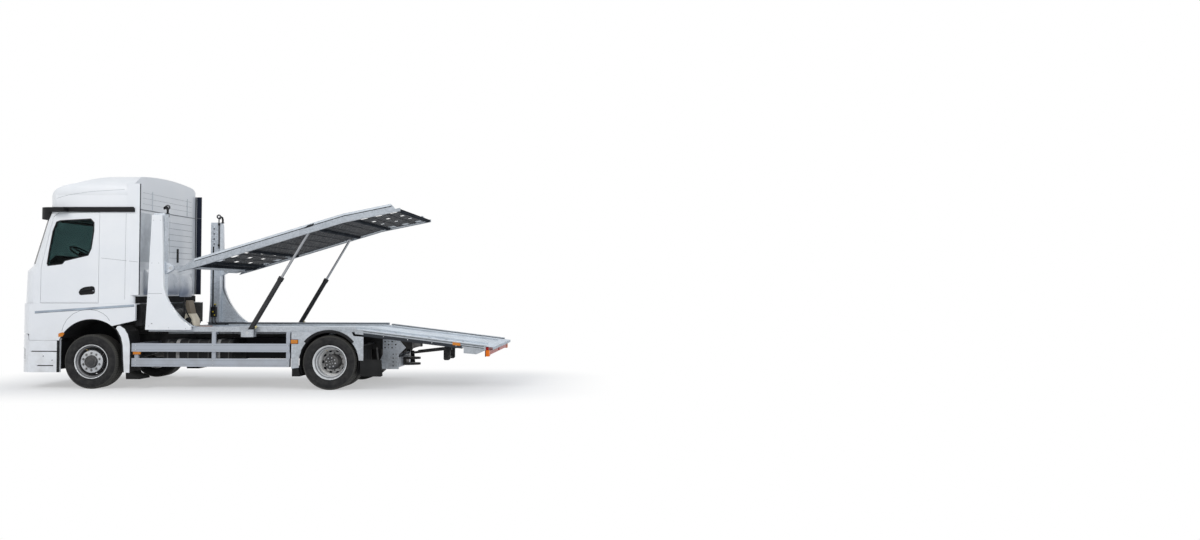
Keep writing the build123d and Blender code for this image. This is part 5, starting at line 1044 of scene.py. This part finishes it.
# Rear wheels: fender lips, arch liners, flaps and their stays, plate bolts
ARCH_BOLTS = [
    (-0.775, 0.96), (-0.775, 0.7), (-0.775, 0.56), (-0.775, 0.43), (-1.965, 0.9), (-1.965, 0.74), (-1.965, 0.58),
    (-0.93, 0.975), (-1.7, 0.975),
]
for s in SIDES:
    lip = Piece("rear_fender", BLACK, side=s).prism(arc_band(REAR_HUB, 0.57, 0.5255, 40, 140, 36), 1.25, 1.259)
    lip.prism(arc_band(REAR_HUB, 0.531, 0.519, 22, 158, 40), 1.23, 1.251).done(0.002)
    liner = Piece("rear_arch_liner", LINER, side=s)
    for start, end in ((-22, 44), (136, 205)):
        liner.prism(arc_band(REAR_HUB, 0.518, 0.512, start, end, 20), 0.6, 1.235)
    liner.done()
    flap = Piece("rear_flaps", RUBBER, side=s)
    flap.prism([(-0.742, 0.4), (-0.742, 0.236), (-0.88, 0.236), (-0.868, 0.33), (-0.85, 0.4)], 0.6, 1.235)
    flap.prism([
        (-1.925, 0.54), (-2.29, 0.525), (-2.312, 0.25), (-2.29, 0.238), (-1.935, 0.244), (-1.93, 0.4),
    ], 1.18, 1.235)
    flap.box((-1.945, 0.6, 0.244), (-1.928, 1.23, 0.8)).done(0.003)
    stay = Piece("flap_stay", FRAME_BLACK, side=s)
    stay.pipe([(-1.955, 0.43, 0.78), (-1.955, 1.15, 0.78), (-1.96, 1.2, 0.76), (-1.96, 1.205, 0.5)], 0.014)
    stay.rod((-2.235, 1.19, 0.52), (-2.209, 1.19, 0.74), 0.016, 12).done()
    Piece("arch_bolts", ZINC, side=s).studs(ARCH_BOLTS, BEAM_FACE, 1.2575, 0.01).done(0, 30)

# Posts: ring rods, guides, valve knobs, pipes, hooks, slots, bolts, and the fairings' screws and seam
SCREWS = [
    (1.8, 1.1), (1.45, 1.07), (1.15, 1.06), (1.8, 1.6), (1.62, 2.95), (1.745, 2.95), (1.64, 2.2), (1.76, 2.2),
]
for s in SIDES:
    rods = Piece("post_rods", CHROME_DARK, side=s).rod((1.592, 0.988, 2.56), (1.6, 0.988, 3.165), 0.012, 12)
    rods.pipe([(1.603 + 0.032 * u, 0.988, 3.196 + 0.032 * v) for u, v in circle(20)], 0.015, 8, True).done()
    guides = Piece("post_guides", FRAME_BLACK, side=s)
    for z in (2.6, 3.02):
        guides.box((1.578, 0.974, z), (1.614, 1.001, z + 0.045))
    guides.box((1.622, 0.932, 1.195), (1.724, 1.001, 1.392))
    guides.rod((1.652, 0.966, 1.392), (1.652, 0.966, 1.44), 0.014, 14)
    guides.rod((1.694, 0.966, 1.392), (1.694, 0.966, 1.425), 0.014, 14).done(0.003)
    knobs = Piece("valve_knobs", YELLOW, side=s)
    knobs.rod((1.652, 0.966, 1.44), (1.652, 0.966, 1.458), 0.019, 14, 0.013)
    knobs.rod((1.673, 0.931, 1.3), (1.673, 0.912, 1.3), 0.017, 14, 0.012)
    knobs.rod((1.64, 0.931, 1.235), (1.64, 0.918, 1.235), 0.011, 6).done(0.001)
    pipe = Piece("post_pipe", PIPE, side=s)
    pipe.pipe([
        (1.7, 0.96, 1.195), (1.7, 0.96, 1.11), (1.69, 0.955, 1.07), (1.65, 0.95, 1.056), (1.3, 0.95, 1.056),
        (0.6, 0.95, 1.056), (0.18, 0.96, 1.056), (0.12, 1, 1.058),
    ], 0.009)
    pipe.pipe([
        (1.65, 0.975, 1.195), (1.65, 0.975, 1.12), (1.64, 0.98, 1.085), (1.6, 0.985, 1.056), (0.3, 0.985, 1.056),
    ], 0.007)
    for x in (1.4, 1, 0.6, 0.3):
        pipe.box((x, 0.93, 1.041), (x + 0.03, 1.005, 1.068))
    pipe.done()
    hook = Piece("post_hook", BLACK, side=s)
    hook.pipe([
        (1.56, 1.07, 3.08), (1.56, 1.07, 3.14), (1.572, 1.07, 3.186), (1.598, 1.07, 3.2), (1.618, 1.07, 3.18),
        (1.614, 1.07, 3.152),
    ], 0.019)
    hook.box((1.54, 1.045, 3.07), (1.585, 1.095, 3.086)).done()
    # painted shade: a black strip where the post's slot opens
    Piece("post_slot_shade", BLACK, side=s).box((1.672, 1.004, 1.2), (1.736, 1.016, 2.64)).done()
    bolts = Piece("post_bolts", ZINC, side=s)
    for x in (1.12, 1.24, 1.36, 1.48, 1.6, 1.72):
        bolts.rod((x, 1.02, 1.1005), (x, 1.02, 1.11), 0.013, 6)
    bolts.studs([(x, z) for x in (1.64, 1.74) for z in (1.11, 1.17)], 0.9995, 0.99, 0.012).done(0, 30)
    screws = Piece("fairing_screws", ZINC, side=s)
    for x, z in SCREWS:
        screws.spun((x, 1.1995, z), [(0, 0.008), (0.003, 0.006), (0.0035, 0)], 14)
    screws.done()
    Piece("fairing_seam", SEAM, side=s).box((1.576, 1.1998, 1.665), (1.829, 1.2006, 1.67)).done()

# Upper deck: edge lips, grooves painted as dark shade, pivot pins, bolts, wheel guides, and ribs on the underside in
# painted shade
for s in SIDES:
    top = deck_line(0.151, 0.478, 1.5, DECK_BREAK, 3.915)
    lip = Piece("deck_lip", LIGHT_ZINC, "upper_deck", s).pipe([(x, 1.244, z) for x, z in top], 0.006)
    lip.bar(1.195, 1.247, 0, 0.004, top).bar(1.249, 1.2508, -0.029, -0.004, top).done()
    # painted shade in the groove along the beam and in its notch
    groove = Piece("deck_groove", DARK_SHADE, "upper_deck", s)
    groove.bar(1.2455, 1.2488, -0.001, 0.021, deck_line(0.098, 0.49, 1.5, DECK_BREAK, 3.93))
    notch = [deck_at(back, lift) for back, lift in ((2.4, 0.098), (2.56, 0.098), (2.585, 0.14), (2.47, 0.14))]
    groove.prism(notch, 1.246, 1.2512).done()
    pin = Piece("pivot_pin", ZINC, side=s).studs([PIVOT], 1.109, 1.119, 0.034)
    pin.studs([PIVOT], 1.031, 1.023, 0.036, 28).done(0.002, 30)
    places = [deck_at(back, lift) for back in (0.54, 0.715, 1.39, 2.64, 3.24) for lift in (0.022, 0.042)]
    Piece("deck_bolts", ZINC, "upper_deck", s).studs(places, BEAM_FACE, 1.2565, 0.009).done(0, 30)
    guide = deck_line(0.038, 0.9, DECK_BREAK, 3.85)
    Piece("deck_wheel_guide", LIGHT_ZINC, "upper_deck", s).bar(0.6, 0.64, 0, 0.03, guide).done(0.002)
# painted shade: ribs under the deck in the dark shadow material
ribs = Piece("deck_underside_ribs", SHADOW_METAL, "upper_deck")
for back in (0.96, 1.18, 1.64, 1.89, 2.14, 2.39, 2.76, 2.98, 3.48, 3.76):
    (x0, z0), (x1, z1) = deck_line(0.0315, back, back + 0.012)
    ribs.prism([(x0, z0), (x1, z1), (x1, z1 - 0.008), (x0, z0 - 0.008)], -1.15, 1.15)
ribs.done()

# Cylinders: glands, fittings, foot bolts and the collars under the rod eyes
FOOT = Vector((0.05, 1.165, 0.985))
EYE = Vector((-1.03, 1.165, 2.815))
LEAN = Vector((-0.5082, 0, 0.8612))
DOWN_SIDE = Vector((-0.8612, 0, -0.5082))
for s in SIDES:
    Piece("cylinder_gland", HUB, "barrel", s).rod(FOOT + LEAN * 1.12, FOOT + LEAN * 1.1285, 0.047, 28, 0.04).done(0.001)
    port = FOOT + LEAN * 0.155
    fitting = Piece("cylinder_fitting", YELLOW_ZINC, "barrel", s)
    fitting.rod(port + DOWN_SIDE * 0.036, port + DOWN_SIDE * 0.066, 0.015, 6)
    fitting.rod(port + DOWN_SIDE * 0.06 + LEAN * 0.02, port + DOWN_SIDE * 0.06 - LEAN * 0.03, 0.011, 12).done(0.001, 30)
    nuts = Piece("foot_bolts", ZINC, side=s).studs([(0.05, 0.985)], 1.2275, 1.236, 0.03)
    nuts.studs([(x, z) for x in (-0.03, 0.13) for z in (0.945, 1.02)], 1.2275, 1.2345, 0.009).done(0.001, 30)
    Piece("rod_eye", HUB, "rod", s).rod(EYE - LEAN * 0.075, EYE - LEAN * 0.03, 0.029, 24).done(0.002)

# Rear deck: markers, edges, flanges and strips under the beams in painted shade, wheel guides, cups painted as shade,
# bolts and tail lamps; guides of the lower deck, and its slots painted as shade
for s in SIDES:
    marker = [(x, rear_at(x, below)) for x, below in ((-3.54, 0.012), (-3.675, 0.012), (-3.675, 0.062), (-3.54, 0.062))]
    Piece("rear_deck_marker", AMBER, "rear_deck", s).prism(marker, 1.2468, 1.256).done(0.003)
    edge = [(x, 1.242, rear_at(x, 0.001)) for x in (-1.845, -3, -4.105)]
    Piece("rear_deck_edge", LIGHT_ZINC, "rear_deck", s).pipe(edge, 0.0075).done()
    # painted shade: dark strips under and along the beam's outer face
    flange = Piece("rear_deck_flange_shade", SHADOW_METAL, "rear_deck", s)
    section = [(1.1, -0.085), (1.249, -0.085), (1.249, -0.06), (1.2508, -0.06), (1.2508, -0.106), (1.1, -0.106)]
    flange.sweep(section, rear_line(-1.99, -3.7))
    for depth, high in ((0.016, 0.009), (0.05, 0.01)):
        flange.bar(1.2485, 1.2512, -depth, -depth - high, rear_line(-1.99, -3.53, -4.08))
    flange.done()
    guide = rear_line(-1.844, -4.06)
    Piece("rear_deck_guide", LIGHT_ZINC, "rear_deck", s).bar(0.6, 0.64, -0.02, 0.008, guide).done(0.002)
    # painted shade in the floor's cups
    cups = Piece("rear_deck_cups", SHADOW_METAL, "rear_deck", s)
    for x in (-2.12, -2.42, -2.72, -3.02, -3.32, -3.62):
        for y in (0.76, 0.96):
            z = rear_at(x, 0.02)
            cups.rod((x, y, z), (x, y, z + 0.0012), 0.032, 20)
    cups.done()
    places = [(x, rear_at(x, 0.068)) for x in (-1.93, -2.34, -2.76, -3.18, -3.6)]
    Piece("rear_deck_bolts", ZINC, "rear_deck", s).studs(places, BEAM_FACE, 1.256, 0.009).done(0, 30)
    housing = Piece("tail_lamp_housing", BLACK, "rear_deck", s).box((-4.108, 0.55, 0.692), (-4.098, 1.235, 0.756))
    housing.box((-4.108, 1.1, 0.59), (-4.098, 1.238, 0.7)).done(0.002)
    Piece("tail_lamp_lens", RED, "rear_deck", s).box((-4.164, 0.06, 0.612), (-4.116, 1.092, 0.69)).done(0.004)
    Piece("lower_deck_guide", LIGHT_ZINC, side=s).box((-1.834, 0.6, FLOOR_TOP), (1.2, 0.64, 1.068)).done(0.002)
# painted shade in the floor's slots
for index, x in enumerate((-1.6, -1.2, -0.8, -0.4, 0, 0.4, 0.8)):
    slots = Piece(f"lower_deck_slots_{index}", SHADOW_METAL)
    for y in (-0.96, -0.76, 0.76, 0.88):
        slots.box((x, y, FLOOR_TOP), (x + 0.15, y + 0.045, 1.042))
    slots.done()
prop = Piece("rear_deck_prop", FRAME_BLACK, "rear_deck")
for y in (-0.26, 0.2):
    prop.prism([
        (-2.6, 0.605), (-2.6, 0.565), (-3.2, 0.632), (-3.33, 0.64), (-3.33, 0.69), (-3.2, 0.676),
    ], y, y + 0.06)
    prop.prism([
        (-3.3, 0.64), (-3.3, 0.47), (-3.27, 0.45), (-3.2, 0.45), (-3.18, 0.47), (-3.18, 0.64),
    ], y + 0.005, y + 0.055)
    prop.prism([(-3.29, 0.68), (-3.29, 0.82), (-3.2, 0.83), (-3.2, 0.67)], y + 0.01, y + 0.05)
prop.rod((-3.24, -0.26, 0.5), (-3.24, 0.26, 0.5), 0.022, 14).done(0.006)

# Coupling carrier: bolts and empty holes by turns, the holes painted dark as shade, the pin and the trailer sockets
carrier = [
    (row + column, x, z) for row, z in enumerate((0.8, 0.745, 0.69))
    for column, x in enumerate((-2.15, -2.215, -2.28, -2.345))
]
low_row = (0.36, 0.43, 0.5, 0.57)
for s in SIDES:
    bolts = Piece("carrier_bolts", ZINC, side=s)
    bolts.studs([(x, z) for count, x, z in carrier if count % 2], PLATE_FACE, 0.457, 0.014)
    bolts.studs([(-2.36, z) for z in low_row], PLATE_FACE, 0.457, 0.013).done(0, 30)
    # painted shade: dark discs where the plate's holes are
    holes = Piece("carrier_holes", DARK_SHADE, side=s)
    holes.studs([(x, z) for count, x, z in carrier if not count % 2], PLATE_FACE, 0.4462, 0.014, 20)
    holes.studs([(-2.3, z) for z in low_row], PLATE_FACE, 0.4462, 0.012, 20).done()
jaw = Piece("coupling_pin", ZINC).box((-2.5, -0.06, 0.492), (-2.425, 0.06, 0.56))
jaw.rod((-2.48, 0.06, 0.53), (-2.48, 0.19, 0.56), 0.012, 12).done(0.004)
socket = Piece("trailer_sockets", BLACK)
for y in (-0.3, -0.18, 0.18, 0.3):
    socket.rod((-2.395, y, 0.62), (-2.47, y, 0.61), 0.034, 22)
socket.box((-2.4, -0.38, 0.57), (-2.385, 0.38, 0.67)).done(0.003)

# Inside of the cab: dashboard, screens, steering wheel, seats and bunk
DASHBOARD = [
    (3.868, 1.545), (3.868, 2.115), (3.79, 2.15), (3.72, 2.156), (3.64, 2.12), (3.604, 2.075), (3.602, 1.905),
    (3.66, 1.83), (3.708, 1.752), (3.728, 1.545),
]
Piece("dashboard", TRIM, "cab").prism(DASHBOARD, -0.978, 0.978).done(0.012)
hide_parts("cab_interior")
screens = Piece("dashboard_screens", GLOSS_BLACK, "cab")
screens.prism([(3.64, 2.06), (3.618, 2.068), (3.604, 1.96), (3.626, 1.95)], 0.3, 0.64)
screens.prism([(3.64, 2.06), (3.618, 2.068), (3.604, 1.92), (3.626, 1.91)], -0.08, 0.2).done(0.004)
wheel = Piece("steering_wheel", TRIM, "cab")
centre = Vector((3.44, 0.48, 2.395))
axis = Vector((-0.55, 0, 0.835)).normalized()
side_way, up_way = Vector((0, 1, 0)), axis.cross(Vector((0, 1, 0)))
wheel.pipe([centre + 0.226 * (side_way * u + up_way * v) for u, v in circle(40)], 0.0145, 10, True)
for a in (0.2, math.pi - 0.2, 1.5 * math.pi):
    wheel.rod(centre, centre + 0.218 * (side_way * math.cos(a) + up_way * math.sin(a)), 0.014, 10)
wheel.rod(centre - axis * 0.012, centre + axis * 0.016, 0.062, 28, 0.05)
wheel.rod(centre - axis * 0.34, centre - axis * 0.01, 0.034, 20).done(0.002)
hood = Piece("dashboard_hood", TRIM, "cab")
hood.prism([(3.86, 2.1), (3.64, 2.1), (3.61, 2.28), (3.64, 2.33), (3.76, 2.35), (3.86, 2.25)], 0.18, 0.78)
hood.box((3.7, -0.9, 2.15), (3.86, 0.18, 2.23)).done(0.015)


def cushion(name, centre, half, turn, channels):
    """Rounded pad, thinner towards its edges, with sewn channels across its length."""
    mesh = bmesh.new()
    bmesh.ops.create_cube(mesh, size=2.0)
    bmesh.ops.subdivide_edges(mesh, edges=mesh.edges, cuts=15, use_grid_fill=True)
    spin = Matrix.Rotation(math.radians(turn), 3, "Y")
    for vert in mesh.verts:
        u = vert.co.copy()
        size = max(abs(u.x), abs(u.y), abs(u.z))
        u *= size / (abs(u.x) ** 5 + abs(u.y) ** 5 + abs(u.z) ** 5) ** 0.2
        seam = 1 - sum(0.16 * math.exp(-(abs(vert.co.x - place) / 0.055) ** 2) for place in channels)
        u.z *= (0.78 + 0.22 * (1 - u.x ** 2) * (1 - u.y ** 2)) * seam
        vert.co = Vector(centre) + spin @ Vector((u.x * half[0], u.y * half[1], u.z * half[2]))
    data = bpy.data.meshes.new(name)
    mesh.to_mesh(data)
    mesh.free()
    data.materials.append(SEAT)
    data.shade_smooth()
    made = linked(name, data)
    made.modifiers.new("smooth", "SUBSURF").levels = 1
    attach(made, "cab")


SEAT_Y = 0.48
SEAT_BASE = [(2.585, 1.545), (3.025, 1.545), (3.035, 1.64), (3, 1.87), (2.56, 1.87), (2.545, 1.64)]
for s, name in SIDES.items():
    base = Piece("seat_base", TRIM, "cab", s).prism(SEAT_BASE, SEAT_Y - s * 0.215, SEAT_Y + s * 0.215)
    base.box((2.6, SEAT_Y - 0.24, 1.545), (3.01, SEAT_Y + 0.24, 1.57)).done(0.01)
    y = s * SEAT_Y
    cushion(f"seat_cushion_{name}", (2.83, y, 1.955), (0.29, 0.245, 0.08), -2.0, (-0.55, 0.0, 0.55))
    cushion(f"seat_back_{name}", (2.53, y, 2.33), (0.32, 0.24, 0.06), 104.0, (-0.6, -0.2, 0.2, 0.6))
    cushion(f"head_rest_{name}", (2.425, y, 2.745), (0.105, 0.15, 0.048), 97.0, ())
Piece("bunk_frame", TRIM, "cab").box((2.17, -0.96, 1.95), (2.37, 0.96, 1.99)).done(0.006)


def camera():
    """Camera at the photograph's place and angle."""
    psi, theta, roll = 0.0259, 0.0238, 0.002
    focal_pixels, photo_width, sensor = 879.5, 1200, 36
    look = Vector((math.sin(psi) * math.cos(theta), -math.cos(psi) * math.cos(theta), math.sin(theta)))
    right = Vector((-math.cos(psi), -math.sin(psi), 0))
    up = right.cross(look)
    right, up = right * math.cos(roll) + up * math.sin(roll), up * math.cos(roll) - right * math.sin(roll)
    data = bpy.data.cameras.new("camera")
    data.sensor_width = sensor
    data.lens = focal_pixels / photo_width * sensor
    data.clip_end = 400
    made = linked("camera", data)
    made.matrix_world = Matrix((
        (right.x, up.x, -look.x, -6.47), (right.y, up.y, -look.y, 16.362), (right.z, up.z, -look.z, 1.728),
        (0, 0, 0, 1),
    ))
    bpy.context.scene.camera = made


def area_light(name, place, target, size, power, colour=(1, 1, 1)):
    data = bpy.data.lights.new(name, "AREA")
    data.shape = "RECTANGLE"
    data.size, data.size_y = size
    data.energy = power
    data.color = colour
    made = linked(name, data)
    made.location = place
    made.rotation_euler = (Vector(target) - Vector(place)).to_track_quat("-Z", "Y").to_euler()


def studio():
    """Three lights, a pale sky that looks white where it is seen, and a floor that fades into it."""
    world = bpy.data.worlds.new("studio")
    bpy.context.scene.world = world
    world.use_nodes = True
    sky = Nodes(world.node_tree)
    light = sky.tree.nodes["Background"]
    light.inputs["Color"].default_value = (0.86, 0.92, 1.0, 1)
    light.inputs["Strength"].default_value = 0.5
    white = sky.node("ShaderNodeBackground", {"Color": (1, 1, 1, 1), "Strength": 1.0})
    sky.result(sky.tree.nodes["World Output"].inputs[0], sky.seen(), light.outputs[0], white.outputs[0])
    area_light("key", (5.0, 13.0, 11.0), (0.0, 0.0, 1.2), (9, 6), 870, (1.0, 0.98, 0.95))
    area_light("fill", (-9.0, 8.0, 7.0), (-1.0, 0.0, 1.5), (7, 5), 440, (0.94, 0.97, 1.0))
    area_light("back", (0.0, -12.0, 10.0), (0.0, 0.0, 1.5), (10, 5), 450)
    mesh = bpy.data.meshes.new("studio_floor")
    mesh.from_pydata([(-60, -60, 0), (60, -60, 0), (60, 60, 0), (-60, 60, 0)], [], [(0, 1, 2, 3)])
    floor = linked("studio_floor", mesh)
    s = Shade("studio_floor", Roughness=0.9, Specular_IOR_Level=0.1)
    s.finish(s.mix(s.noise(0.7), (0.83, 0.83, 0.835), (0.86, 0.86, 0.865)))
    x, y, _ = s.axes()
    out_x, out_y = [s.most(s.minus(s.math("ABSOLUTE", part), reach), 0.0) for part, reach in ((x, 4.0), (y, 1.0))]
    # painted light: near the truck the floor's glow still makes up 45 percent of what is seen, which lightens the cast
    # shadow
    edge = s.span(s.length(out_x, out_y), 0.2, 2.4, 0.45, 1.0)
    glow = s.node("ShaderNodeEmission", {"Color": (1, 1, 1, 1), "Strength": 1.0})
    s.result(s.tree.nodes["Material Output"].inputs[0], s.times(edge, s.seen()), s.shader.outputs[0], glow.outputs[0])
    mesh.materials.append(s.material)
    floor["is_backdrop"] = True


camera()
studio()
bpy.context.scene.view_settings.view_transform = "Standard"
low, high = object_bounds()
